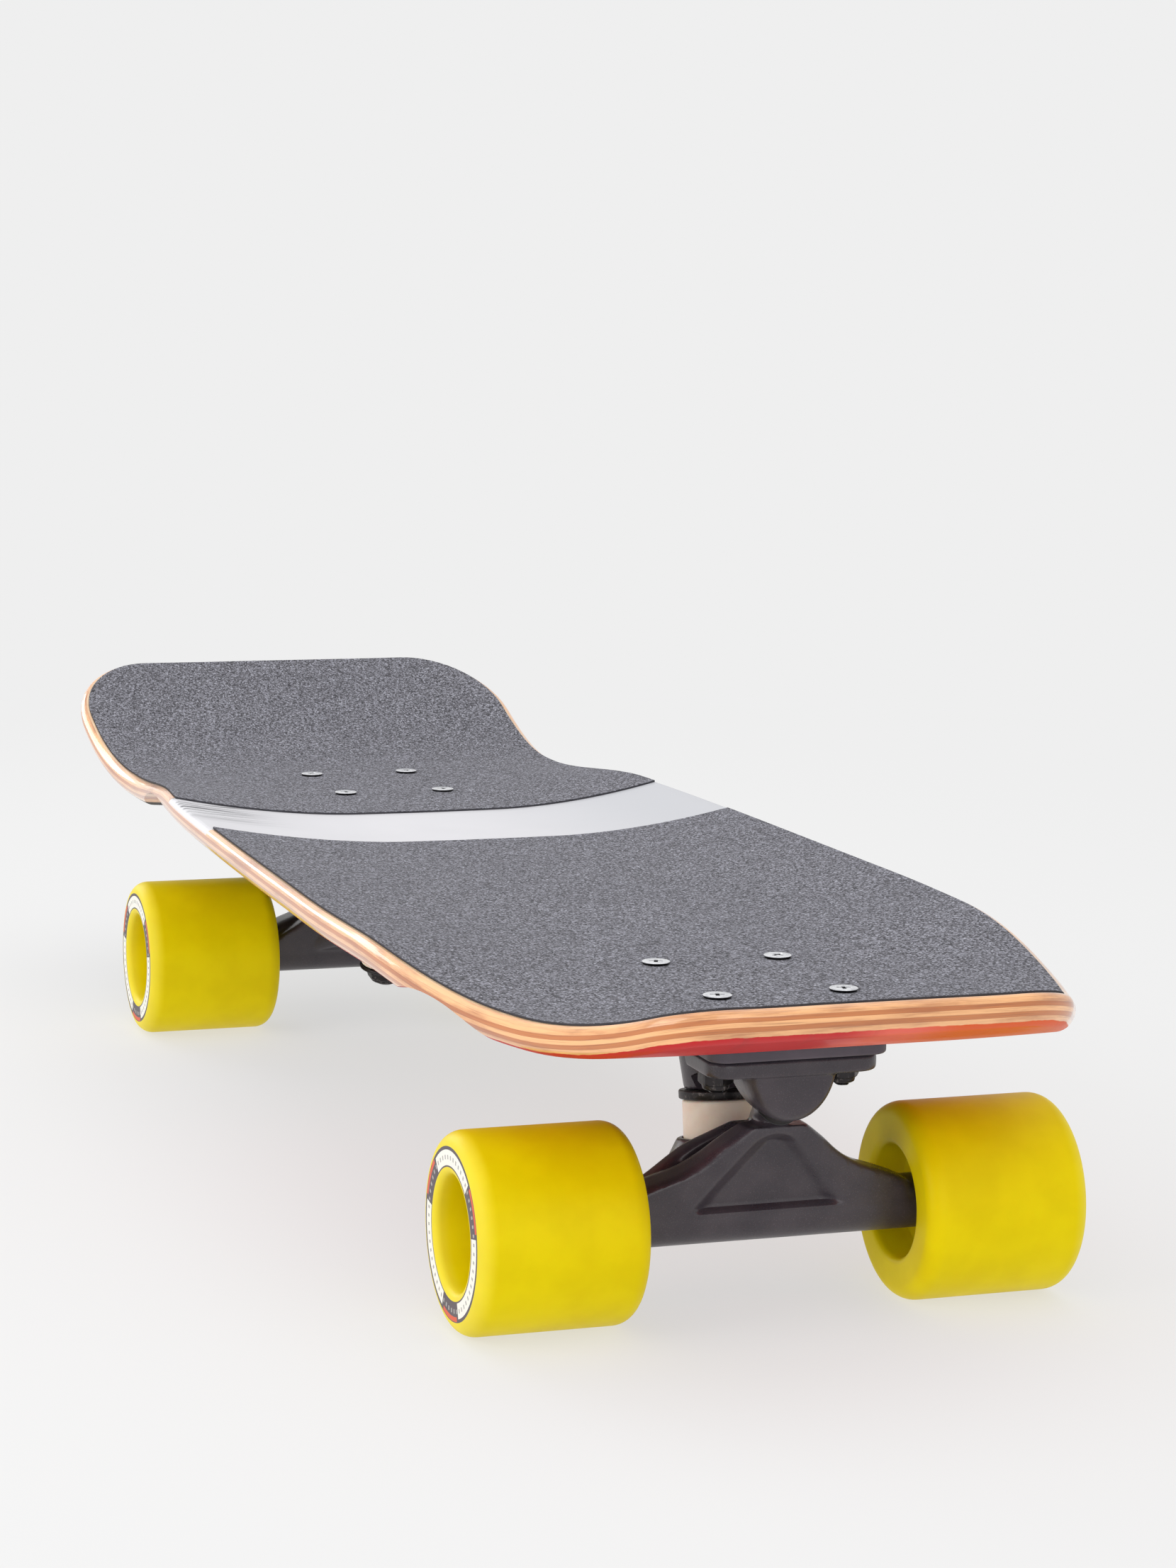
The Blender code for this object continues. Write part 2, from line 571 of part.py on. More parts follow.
def add_kingpin_stack(end, kingpin_axis):
    """The kingpin, its nut, the two bushings and their washers, all on the kingpin's own line."""
    head = KINGPIN_HEAD_FLATS / 2
    head_low, head_high = KINGPIN_HEAD
    kingpin = [
        (0, head_high), (head, head_high), (head, head_low), (KINGPIN_RADIUS, head_low),
        (KINGPIN_RADIUS, KINGPIN_END), (0, KINGPIN_END),
    ]
    turned(f"kingpin_{end}", kingpin, KINGPIN_STEPS, STEEL, parent=kingpin_axis)
    nut = ring_profile(hex_radius(KINGPIN_HEAD_FLATS), hex_radius(2 * KINGPIN_BORE), *KINGPIN_NUT)
    turned(f"kingpin_nut_{end}", nut, HEXAGON, STEEL, parent=kingpin_axis)

    low, high = BUSHING_BOARD
    barrel = [
        (BUSHING_BOARD_RADIUS * BUSHING_END_SCALE, high), (BUSHING_BOARD_RADIUS, high - BUSHING_BOARD_RIM),
        (BUSHING_BOARD_RADIUS, low + BUSHING_BOARD_RIM), (BUSHING_BOARD_RADIUS * BUSHING_END_SCALE, low),
        (KINGPIN_BORE, low), (KINGPIN_BORE, high),
    ]
    turned(f"bushing_board_{end}", barrel, STACK_STEPS, CREAM, parent=kingpin_axis)
    low, high = BUSHING_ROAD
    cone = [
        (BUSHING_ROAD_RADII[1] * BUSHING_END_SCALE, high), (BUSHING_ROAD_RADII[1], high - BUSHING_ROAD_RIM),
        (BUSHING_ROAD_RADII[0], low), (KINGPIN_BORE, low), (KINGPIN_BORE, high),
    ]
    turned(f"bushing_road_{end}", cone, STACK_STEPS, CREAM, parent=kingpin_axis)
    for name, radius, span in (
        ("washer_board", WASHER_BOARD_RADIUS, WASHER_BOARD), ("washer_road", WASHER_ROAD_RADIUS, WASHER_ROAD),
    ):
        washer = ring_profile(radius, KINGPIN_BORE, *span)
        turned(f"{name}_{end}", washer, STACK_STEPS, DARK_STEEL, parent=kingpin_axis)


def add_pivot_cup(end, steer_axis):
    low, high = (pivot_distance + span for span in CUP_SPAN)
    inner = CUP_RADIUS - CUP_WALL
    floor = high - CUP_FLOOR
    cup = [(0, high), (CUP_RADIUS, high), (CUP_RADIUS, low), (inner, low), (inner, floor), (0, floor)]
    turned(f"pivot_cup_{end}", cup, PIVOT_STEPS, BLACK_PLASTIC, parent=steer_axis)


def rounded_ring(half_a, half_b, round_off):
    """A rounded rectangle of 16 points about its own middle."""
    points = []
    for quarter, (sign_a, sign_b) in enumerate(((1, 1), (-1, 1), (-1, -1), (1, -1))):
        for step in range(4):
            turn = math.pi / 2 * (quarter + step / 3)
            a = sign_a * (half_a - round_off) + round_off * math.cos(turn)
            b = sign_b * (half_b - round_off) + round_off * math.sin(turn)
            points.append((a, b))
    return points


def level_loft(name, sections, truck):
    """A loft of level rounded rectangles."""
    rings = []
    for z, u, half_u, half_y in sections:
        ring = rounded_ring(half_u * MM, half_y * MM, min(half_u, half_y) * WEB_ROUNDING * MM)
        rings.append([(u * MM + a, b, z * MM) for a, b in ring])
    return loft(name, rings, parent=truck)


def upright_loft(name, sections, truck):
    """A loft of upright rounded rectangles that face along the board."""
    rings = []
    for u, half_y, z, half_z in sections:
        ring = rounded_ring(half_y * MM, half_z * MM, ARM_ROUNDING)
        rings.append([(u * MM, a, z * MM + b) for a, b in ring])
    return loft(name, rings, parent=truck)


def recess_ring(depth, scale):
    """The recess's outline, scaled about its middle and set at a depth from the hanger's sloping face."""
    ring = []
    for y, z in RECESS_OUTLINE_MM:
        height = RECESS_MIDDLE + (z * MM - RECESS_MIDDLE) * scale
        face = RECESS_PLANE[0] + (height - RECESS_PLANE[1]) * RECESS_SLOPE
        ring.append((face + depth, y * MM * scale, height))
    return ring


def add_hanger(end, steer, truck, kingpin_axis, steer_axis):
    """The hanger: an axle tube, a leaning triangular web, rear arms, the bushing ring and the pivot pin."""
    outside = rod_profile(HANGER_TUBE_RADIUS, -HANGER_HALF, HANGER_HALF)
    place = {"parent": steer, "location": axle_at, "rotation": across_board}
    tube = turned(f"hanger_{end}", outside, HANGER_STEPS, BLACK_METAL, **place)
    web = level_loft(f"web_{end}", WEB_SECTIONS_MM, truck)
    rear_web = level_loft(f"rear_web_{end}", REAR_WEB_SECTIONS_MM, truck)
    arms = upright_loft(f"arms_{end}", ARM_SECTIONS_MM, truck)
    spine = upright_loft(f"spine_{end}", SPINE_SECTIONS_MM, truck)
    recess = loft(f"recess_{end}", [recess_ring(*RECESS_FLOOR), recess_ring(*RECESS_MOUTH)], parent=truck)

    half = RING_HEIGHT / 2
    ring_outside = [
        (0, half), (RING_TOP_RADIUS, half), (RING_RADIUS, RING_WIDEST),
        (RING_BOTTOM_RADIUS, -half), (0, -half),
    ]
    ring = turned(f"ring_{end}", ring_outside, BOSS_STEPS, parent=kingpin_axis)
    tip = pivot_distance + PIVOT_PIN_TIP
    shoulder = pivot_distance - PIVOT_SHOULDER
    stem_end = shoulder - PIVOT_STEM_LENGTH
    pin_and_stem = [
        (0, tip), (PIVOT_PIN_END_RADIUS, tip - PIVOT_PIN_END), (PIVOT_PIN_RADIUS, tip - PIVOT_PIN_TAPER),
        (PIVOT_PIN_RADIUS, shoulder), (PIVOT_STEM_RADII[0], shoulder - MM), (PIVOT_STEM_RADII[1], stem_end),
        (0, stem_end - MM),
    ]
    stem = turned(f"stem_{end}", pin_and_stem, PIVOT_STEPS, parent=steer_axis)

    seat_radius, seat_depth = RING_SEAT
    ring_hole = [
        (0, RING_HEIGHT), (seat_radius, RING_HEIGHT), (seat_radius, seat_depth), (RING_HOLE, seat_depth),
        (RING_HOLE, -seat_depth), (seat_radius, -seat_depth), (seat_radius, -RING_HEIGHT), (0, -RING_HEIGHT),
    ]
    ring_cutter = turned(f"ring_cutter_{end}", ring_hole, RING_BORE_STEPS, parent=kingpin_axis)
    axle_hole = rod_profile(AXLE_RADIUS + GAP, -AXLE_HALF, AXLE_HALF)
    axle_cutter = turned(f"axle_cutter_{end}", axle_hole, AXLE_STEPS, parent=tube)
    boolean(tube, "UNION", web, rear_web, arms, spine, ring, stem)
    boolean(tube, "DIFFERENCE", ring_cutter, axle_cutter, recess)


def wheel_profile():
    """From the outer face over the lip and tread to the inner face, then back through the core."""
    half = WHEEL_WIDTH / 2
    turns = [math.pi / 2 * step / LIP_STEPS for step in range(LIP_STEPS + 1)]
    flat = WHEEL_RADIUS - LIP_RADIAL
    outer = [(flat + LIP_RADIAL * math.sin(turn), half - LIP_AXIAL * (1 - math.cos(turn))) for turn in turns]
    inner = [(r, -z) for r, z in reversed(outer)]
    core_low = CORE_MIDDLE - CORE_HALF - WHEEL_MIDDLE
    core_high = CORE_MIDDLE + CORE_HALF - WHEEL_MIDDLE
    seat = BEARING_RADIUS + GAP
    ledge = BEARING_RADIUS - BEARING_LEDGE
    low_ledge = core_low + BEARING_WIDTH + GAP
    high_ledge = core_high - BEARING_WIDTH - GAP
    bore = [
        (HUB_MOUTH, -half), (HUB_FLOOR, core_low), (seat, core_low), (seat, low_ledge), (ledge, low_ledge),
        (ledge, high_ledge), (seat, high_ledge), (seat, core_high), (HUB_FLOOR, core_high),
        (HUB_MOUTH, half),
    ]
    return outer + inner + bore


def bearing_profile():
    """Outer ring, and an inner race that reaches past both faces, half-way to the other bearing."""
    spacer = CORE_HALF - BEARING_WIDTH - GAP / 2
    reach = BEARING_WIDTH + RACE_REACH
    return [
        (BEARING_RADIUS, BEARING_WIDTH), (BEARING_RADIUS, 0), (RACE_RADIUS, 0), (RACE_RADIUS, -spacer),
        (BEARING_BORE, -spacer), (BEARING_BORE, reach), (RACE_RADIUS, reach), (RACE_RADIUS, BEARING_WIDTH),
    ]


def add_wheels(end, steer):
    """The axle, wheels with two bearings each, and the lock nuts on the axle's ends."""
    axle = rod_profile(AXLE_RADIUS, -AXLE_HALF, AXLE_HALF)
    turned(f"axle_{end}", axle, AXLE_STEPS, STEEL, parent=steer, location=axle_at, rotation=across_board)
    core = CORE_MIDDLE - WHEEL_MIDDLE
    face = CORE_HALF - BEARING_WIDTH
    nut_inner = CORE_MIDDLE + CORE_HALF + RACE_REACH + GAP
    nut_hole = hex_radius(2 * (AXLE_RADIUS + GAP))
    nut = ring_profile(hex_radius(AXLE_NUT_FLATS), nut_hole, nut_inner, nut_inner + AXLE_NUT_HEIGHT)
    facing = 1 if end == "front" else -1
    for side_name, side in (("left", facing), ("right", -facing)):
        outward = (-side * math.pi / 2, 0, 0)
        label = f"{end}_{side_name}"
        hub = add_empty(f"spin_{label}", steer, (axle_at[0], side * WHEEL_MIDDLE, axle_at[2]), outward)
        turned(f"wheel_{label}", wheel_profile(), WHEEL_STEPS, YELLOW, parent=hub)
        for name, at, turn in (("outer", core + face, 0), ("inner", core - face, math.pi)):
            turned(
                f"bearing_{label}_{name}", bearing_profile(), BEARING_STEPS, STEEL,
                parent=hub, location=(0, 0, at), rotation=(turn, 0, 0),
            )
        turned(f"axle_nut_{label}", nut, HEXAGON, STEEL, parent=steer, location=axle_at, rotation=outward)


def add_truck(end):
    """One whole truck. The rear one is the front one turned half round."""
    turn = 0 if end == "front" else math.pi
    truck = add_empty(f"truck_{end}", None, (TRUCK_AT[end], 0, 0), (0, 0, turn))
    ring_at = (RING_CENTRE[0], 0, RING_CENTRE[1])
    kingpin_axis = add_empty(f"kingpin_axis_{end}", truck, ring_at, (0, -KINGPIN_LEAN, 0))
    steer = add_empty(f"steer_{end}", truck, ring_at)
    steer_axis = add_empty(f"steer_axis_{end}", truck, ring_at, (0, steer_tilt, 0))
    add_bolts(end, truck)
    riser_centre = (0, 0, riser_top - RISER_SIZE[2] / 2)
    shape = (RISER_SIZE, riser_centre, RISER_CORNER, RISER_EDGE)
    riser = block(f"riser_{end}", *shape, BLACK_PLASTIC, parent=truck)
    boolean(riser, "DIFFERENCE", bolt_cutters)
    add_baseplate(end, truck, kingpin_axis, steer_axis)
    add_kingpin_stack(end, kingpin_axis)
    add_pivot_cup(end, steer_axis)
    add_hanger(end, steer, truck, kingpin_axis, steer_axis)
    add_wheels(end, steer)


for truck_end in TRUCK_AT:
    add_truck(truck_end)
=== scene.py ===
"""The looks of a cruiser skateboard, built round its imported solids.

The nose points along +X, +Y is the rider's left when facing the nose, and +Z is up. Sizes are in metres.
"""

import math

import bmesh
import bpy
from mathutils import Matrix, Vector


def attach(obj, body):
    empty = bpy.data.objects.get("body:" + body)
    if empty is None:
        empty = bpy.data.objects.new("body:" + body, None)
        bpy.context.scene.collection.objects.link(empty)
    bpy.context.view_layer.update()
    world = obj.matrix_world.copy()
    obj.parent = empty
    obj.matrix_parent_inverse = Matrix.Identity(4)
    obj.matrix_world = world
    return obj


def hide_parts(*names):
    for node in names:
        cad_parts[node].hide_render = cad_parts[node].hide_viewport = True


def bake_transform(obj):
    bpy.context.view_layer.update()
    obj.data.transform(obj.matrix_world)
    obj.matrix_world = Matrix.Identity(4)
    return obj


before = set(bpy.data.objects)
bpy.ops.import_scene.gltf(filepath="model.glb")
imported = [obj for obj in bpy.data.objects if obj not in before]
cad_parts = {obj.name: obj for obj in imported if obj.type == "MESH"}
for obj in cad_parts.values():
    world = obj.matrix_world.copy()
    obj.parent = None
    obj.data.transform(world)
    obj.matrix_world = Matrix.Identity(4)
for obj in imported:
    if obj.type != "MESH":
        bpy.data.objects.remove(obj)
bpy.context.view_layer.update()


# The deck: seven maple veneers glued and pressed into kicks and a shallow dish, then cut out, rounded
# over, routed out above the wheels and lacquered. A silver band is sprayed across its top, and its
# underside is painted.

MM = 0.001
MERGE = 0.002 * MM
DECK_TIP = 353.5 * MM
DECK_TOP = 102.0 * MM
DECK_THICKNESS = 9.8 * MM
PLIES = 7
EDGE_WIDEST = 3.6 * MM
UPPER_ROUND = 3.4 * MM
LOWER_ROUND = 6.2 * MM
ROUND_STEPS = (6, 8)
SHEET_PITCH = 4 * MM
SHEET_ROWS = 48
CORNER_ANGLES = range(0, 91, 6)
TAIL_CORNER = (51 * MM, 38 * MM)
NOSE_CORNER = (15 * MM, 17 * MM)
TIP_RUNS = 3
TAIL_BOW = 0.8 * MM
NOSE_BOW = 2.6 * MM
HALF_WIDTHS_MM = (
    (-353.5, 98.0), (-290, 98.0), (-214, 96.0), (-150, 99.2), (-100, 103.4), (-20, 106.6),
    (80, 108.9), (150, 109.5), (225, 104.7), (290, 89.4), (353.5, 60.0),
)
KICK_ANGLE = math.radians(20)
NOSE_KICK = (285.5 * MM, 150 * MM)
TAIL_KICK = (226.5 * MM, 200 * MM)
DISH_RISE = 6.9 * MM
DISH_REST = 0.8 * MM
DISH_FLAT_HALF = 30 * MM
DISH_POWER = 1.8
DISH_TAIL = (-219.5 * MM, 95 * MM)
DISH_NOSE = (280.5 * MM, 105 * MM)
WELL_AT = ((237 * MM, 105 * MM), (-153 * MM, 100 * MM))
WELL_DEPTH = 6.0 * MM
WELL_SPHERE = 95 * MM
WELL_REACH = 45 * MM
WELL_RINGS = 15
LARGE_STEPS = 96
BAND_REAR = (-99.5 * MM, 12 * MM)
BAND_FRONT = (-26.5 * MM, 9 * MM)
BAND_BOW_AT = 100 * MM
BAND_FADE = 90 * MM
BAND_LAP = (3 * MM, 2 * MM)
BAND_EDGE = 0.4 * MM
PANEL_HALF = (300 * MM, 47 * MM)
PANEL_EDGE = 0.3 * MM
WAVE_RADIANS_PER_METRE = 48
WAVE_SWELL = 9 * MM
WAVE_PITCH = 30 * MM
WAVES_SHOWN = 10
TRUCK_AT = {"front": 247.0 * MM, "rear": -176.0 * MM}
BOLT_PATTERN = (53.98 * MM, 41.28 * MM)
BOLT_HEAD_RADIUS = 4.45 * MM
BOLT_HEAD_RIM = 103.45 * MM
BOLT_HOLE_RADIUS = 2.8 * MM
BOLT_CLEARANCE = 0.15 * MM
HOLE_ABOVE = 3 * MM
HOLE_BELOW = 40 * MM
HOLE_STEPS = 40


def ease(t):
    """Runs smoothly from 0 to 1 as t does."""
    t = min(max(t, 0.0), 1.0)
    return t * t * (3 - 2 * t)


def half_width(x):
    """The deck's outline before its corners are rounded: a smooth curve through the half-widths."""
    points = [(px * MM, py * MM) for px, py in HALF_WIDTHS_MM]
    x = min(max(x, points[0][0]), points[-1][0])
    slopes = [(b[1] - a[1]) / (b[0] - a[0]) for a, b in zip(points, points[1:])]
    tangents = [slopes[0]] + [(a + b) / 2 for a, b in zip(slopes, slopes[1:])] + [slopes[-1]]
    i = max(k for k in range(len(slopes)) if x >= points[k][0])
    (x0, y0), (x1, y1) = points[i], points[i + 1]
    span = x1 - x0
    t = (x - x0) / span
    start = (1 + 2 * t) * (1 - t) ** 2 * y0 + t * (1 - t) ** 2 * span * tangents[i]
    return start + t * t * (3 - 2 * t) * y1 + t * t * (t - 1) * span * tangents[i + 1]


def kick_rise(run, radius):
    """The height gained after a run into a kick: an arc, then a straight slope."""
    if run <= 0:
        return 0.0
    arc = radius * math.sin(KICK_ANGLE)
    if run < arc:
        return radius - math.sqrt(radius * radius - run * run)
    return radius * (1 - math.cos(KICK_ANGLE)) + (run - arc) * math.tan(KICK_ANGLE)


def deck_height(x, y):
    """The height of the deck's top surface."""
    kicks = kick_rise(x - NOSE_KICK[0], NOSE_KICK[1]) + kick_rise(-x - TAIL_KICK[0], TAIL_KICK[1])
    fullness = ease((x - DISH_TAIL[0]) / DISH_TAIL[1]) * ease((DISH_NOSE[0] - x) / DISH_NOSE[1])
    rim = DISH_REST + DISH_RISE * fullness
    across = max(0.0, (abs(y) - DISH_FLAT_HALF) / (half_width(x) - DISH_FLAT_HALF))
    return DECK_TOP + kicks + rim * across**DISH_POWER


def places_along(start, end):
    """Columns for a sheet: evenly spaced, and closing up round the corners at the board's tips."""
    steps = range(math.ceil(start / SHEET_PITCH), math.floor(end / SHEET_PITCH) + 1)
    corner_run = {-1: TAIL_CORNER[0], 1: NOSE_CORNER[0]}
    places = []
    for x in (step * SHEET_PITCH for step in steps):
        if -DECK_TIP + corner_run[-1] < x < DECK_TIP - corner_run[1]:
            places.append((x, 0))
    for tip, run in corner_run.items():
        for angle in CORNER_ANGLES:
            turn = math.sin(math.radians(angle))
            places.append((tip * (DECK_TIP - run * (1 - turn)), tip * turn))
    inside = sorted(place for place in places if start - MM < place[0] < end + MM)
    if abs(start) < DECK_TIP:
        inside = [(start, 0)] + [place for place in inside if place[0] > start + SHEET_PITCH / 3]
    if abs(end) < DECK_TIP:
        inside = [place for place in inside if place[0] < end - SHEET_PITCH / 3] + [(end, 0)]
    return inside


def sheet_point(place, across, inset, lift, start, end, borders):
    """A point of a sheet: across is from -1 to 1 between its edges, and lift is its height over the deck."""
    base, shrink = place
    x = base - shrink * inset
    run, depth = NOSE_CORNER if x > 0 else TAIL_CORNER
    tip_bow = NOSE_BOW if x > 0 else TAIL_BOW
    y = across * (half_width(x) - inset - (depth - inset) * (1 - math.sqrt(1 - shrink * shrink)))
    near_tip = ease((abs(x) - DECK_TIP + TIP_RUNS * run) / (TIP_RUNS * run))
    shift = -math.copysign(tip_bow * (y / half_width(x)) ** 2, x) * near_tip
    for border, away in zip(borders, (x - start, end - x)):
        if border:
            shift -= border[1] * (y / BAND_BOW_AT) ** 2 * (1 - ease(away / BAND_FADE))
    x += shift
    return x, y, deck_height(x, y) + lift


def deck_sheet(start, end, inset, upper, lower, borders=(None, None)):
    """A sheet with the deck's curves, from an upper and a lower face that meet at their outer edge.

    Each face is given as its rings, from the outer edge in: how far in, and how high over the deck's top.
    A border is where a sheet ends in a bowed cut across the board.
    """
    places = places_along(start, end)
    columns = len(places) - 1
    bm = bmesh.new()
    for rings in (upper, lower):
        rim = len(rings) - 1
        wide = columns + 2 * rim
        tall = SHEET_ROWS + 2 * rim
        grid = bmesh.ops.create_grid(bm, x_segments=wide, y_segments=tall, size=1)
        for vert in grid["verts"]:
            i = round((vert.co.x + 1) / 2 * wide)
            j = round((vert.co.y + 1) / 2 * tall)
            ring_inset, lift = rings[min(i, j, wide - i, tall - j, rim)]
            place = places[min(max(i - rim, 0), columns)]
            across = min(max(j - rim, 0), SHEET_ROWS) / SHEET_ROWS * 2 - 1
            vert.co = sheet_point(place, across, inset + ring_inset, lift, start, end, borders)
    bmesh.ops.remove_doubles(bm, verts=bm.verts, dist=MERGE)
    return bm


def quarter_round(steps, inset, start, end):
    """Rings round an edge, from its widest height to a face."""
    turns = [math.pi / 2 * step / steps for step in range(steps + 1)]
    return [(inset * (1 - math.cos(turn)), start + (end - start) * math.sin(turn)) for turn in turns]


def turned(bm, profile, steps, place=Matrix(), flats=None):
    """Adds a turned solid to a bmesh. Its profile is radii and heights, and a ring's profile closes.

    A hexagon across its flats trims it to a nut's outline.
    """
    rings = []
    for radius, height in profile:
        ring = []
        for i in range(steps if radius else 1):
            turn = 2 * math.pi * i / steps
            reach = radius
            if flats:
                reach = min(radius, flats / 2 / math.cos(turn % (math.pi / 3) - math.pi / 6))
            spot = Vector((reach * math.cos(turn), reach * math.sin(turn), height))
            ring.append(bm.verts.new(place @ spot))
        rings.append(ring)
    pairs = list(zip(rings, rings[1:]))
    if profile[0][0]:
        pairs.append((rings[-1], rings[0]))
    for high, low in pairs:
        for i in range(steps):
            j = (i + 1) % steps
            corners = (high[i % len(high)], low[i % len(low)], low[j % len(low)], high[j % len(high)])
            bm.faces.new(dict.fromkeys(corners))


def finish_mesh(name, bm, material, sharp=40):
    """Makes an object of a bmesh, closed, facing outwards, and smooth up to an angle in degrees."""
    bmesh.ops.recalc_face_normals(bm, faces=bm.faces)
    mesh = bpy.data.meshes.new(name)
    bm.to_mesh(mesh)
    bm.free()
    mesh.shade_smooth()
    mesh.set_sharp_from_angle(angle=math.radians(sharp))
    obj = bpy.data.objects.new(name, mesh)
    bpy.context.scene.collection.objects.link(obj)
    if material:
        mesh.materials.append(material)
    return obj


def settle(obj, sharp=40):
    """Turns an object's modifiers into its own mesh."""
    mesh = bpy.data.meshes.new_from_object(obj.evaluated_get(bpy.context.evaluated_depsgraph_get()))
    obj.modifiers.clear()
    obj.data = mesh
    mesh.shade_smooth()
    mesh.set_sharp_from_angle(angle=math.radians(sharp))
    return obj


def cut_away(obj, bm, sharp=40):
    """Cuts the closed solids of a bmesh out of an object."""
    cutter = finish_mesh(f"{obj.name}_cutter", bm, None)
    modifier = obj.modifiers.new("cut", "BOOLEAN")
    modifier.operation = "DIFFERENCE"
    modifier.object = cutter
    settle(obj, sharp)
    bpy.data.objects.remove(cutter)
    return obj


def truck_place(end):
    """The middle of a truck's bolt holes, with local +X pointing outboard."""
    turn = 0 if end == "front" else math.pi
    return Matrix.Translation((TRUCK_AT[end], 0, 0)) @ Matrix.Rotation(turn, 4, "Z")


def bolt_places():
    """The axes of the eight deck bolts."""
    for end in TRUCK_AT:
        for along in (1, -1):
            for across in (1, -1):
                spot = (along * BOLT_PATTERN[0] / 2, across * BOLT_PATTERN[1] / 2, 0)
                yield truck_place(end) @ Matrix.Translation(spot)


def bolt_holes():
    """Cutters for the countersunk bolt holes, through everything from the grip tape to the baseplates."""
    clear = BOLT_HEAD_RADIUS + BOLT_CLEARANCE
    rim = BOLT_HEAD_RIM - BOLT_CLEARANCE
    above = BOLT_HEAD_RIM + HOLE_ABOVE
    below = BOLT_HEAD_RIM - HOLE_BELOW
    neck = rim - clear + BOLT_HOLE_RADIUS
    profile = [
        (0, above), (clear, above), (clear, rim),
        (BOLT_HOLE_RADIUS, neck), (BOLT_HOLE_RADIUS, below), (0, below),
    ]
    bm = bmesh.new()
    for place in bolt_places():
        turned(bm, profile, HOLE_STEPS, place)
    return bm


class Wiring:
    """A node tree that is being wired up. Its methods give back the node or socket to build on."""

    def __init__(self, tree):
        self.tree = tree

    def node(self, kind, inputs=None, **settings):
        """A new node with its settings, and with its inputs linked or set."""
        made = self.tree.nodes.new(kind)
        for name, value in settings.items():
            setattr(made, name, value)
        for name, value in (inputs or {}).items():
            self.wire(made.inputs[name], value)
        return made

    def wire(self, socket, value):
        """Links a socket to another one, or sets it to a plain value."""
        if isinstance(value, bpy.types.NodeSocket):
            self.tree.links.new(value, socket)
        else:
            socket.default_value = value

    def math(self, operation, a, b=0.0):
        return self.node("ShaderNodeMath", {0: a, 1: b}, operation=operation).outputs[0]

    def times(self, a, b):
        return self.math("MULTIPLY", a, b)

    def plus(self, a, b):
        return self.math("ADD", a, b)


class Finish(Wiring):
    """A procedural material, on Object coordinates where nothing else is given."""

    def __init__(self, name, **plain):
        self.material = bpy.data.materials.new(name)
        self.material.use_nodes = True
        super().__init__(self.material.node_tree)
        self.shader = self.tree.nodes["Principled BSDF"]
        self.place = self.node("ShaderNodeTexCoord").outputs["Object"]
        self.set(**plain)

    def set(self, **sockets):
        """Links or sets the shader's sockets, and gives back the material."""
        for name, value in sockets.items():
            self.wire(self.shader.inputs[name.replace("_", " ")], value)
        return self.material

    def axes(self, place=None):
        return self.node("ShaderNodeSeparateXYZ", {0: place or self.place}).outputs

    def attribute(self, name, output="Fac"):
        return self.node("ShaderNodeAttribute", attribute_name=name).outputs[output]

    def stretch(self, scale, place=None):
        """Coordinates that are scaled along each axis."""
        inputs = {"Vector": place or self.place, "Scale": scale}
        return self.node("ShaderNodeMapping", inputs, vector_type="POINT").outputs[0]

    def noise(self, scale, detail, roughness=0.5, place=None):
        inputs = {"Vector": place or self.place, "Scale": scale, "Detail": detail, "Roughness": roughness}
        return self.node("ShaderNodeTexNoise", inputs).outputs["Fac"]

    def grains(self, scale):
        """A random value for each small cell."""
        made = self.node("ShaderNodeTexVoronoi", {"Vector": self.place, "Scale": scale})
        return self.node("ShaderNodeSeparateColor", {0: made.outputs["Color"]}).outputs[0]

    def span(self, value, low, high, to_low=0.0, to_high=1.0):
        """A value moved from one range to another, eased at both ends."""
        inputs = {"Value": value, "From Min": low, "From Max": high, "To Min": to_low, "To Max": to_high}
        return self.node("ShaderNodeMapRange", inputs, interpolation_type="SMOOTHSTEP").outputs[0]

    def mix(self, factor, a, b):
        """Colour a, turning to colour b as the factor goes from 0 to 1."""
        made = self.node("ShaderNodeMix", data_type="RGBA")
        sockets = {socket.identifier: socket for socket in made.inputs}
        for name, value in (("Factor_Float", factor), ("A_Color", a), ("B_Color", b)):
            self.wire(sockets[name], value)
        return [socket for socket in made.outputs if socket.identifier == "Result_Color"][0]

    def ramp(self, value, stops, interpolation="LINEAR"):
        """A colour for each value, from stops that are a position and a colour."""
        made = self.node("ShaderNodeValToRGB", {0: value})
        made.color_ramp.interpolation = interpolation
        while len(made.color_ramp.elements) < len(stops):
            made.color_ramp.elements.new(1.0)
        for element, (position, colour) in zip(made.color_ramp.elements, stops):
            element.position = position
            element.color = colour
        return made.outputs["Color"]

    def bump(self, height, distance, strength):
        inputs = {"Height": height, "Distance": distance, "Strength": strength}
        return self.node("ShaderNodeBump", inputs).outputs[0]


def rgb(red, green, blue):
    """A colour written as 0 to 255 screen values, as the linear value that a shader takes."""
    def linear(value):
        value /= 255
        return value / 12.92 if value <= 0.04045 else ((value + 0.055) / 1.055) ** 2.4
    return (*(linear(value) for value in (red, green, blue)), 1.0)


def across_band(finish, along, across, border):
    """How far a point is towards the nose from one of the bare band's bowed borders."""
    bow = finish.times(finish.math("POWER", finish.math("ABSOLUTE", across), 2.0), border[1])
    bow = finish.math("DIVIDE", bow, BAND_BOW_AT * BAND_BOW_AT)
    return finish.plus(finish.math("SUBTRACT", along, border[0]), bow)


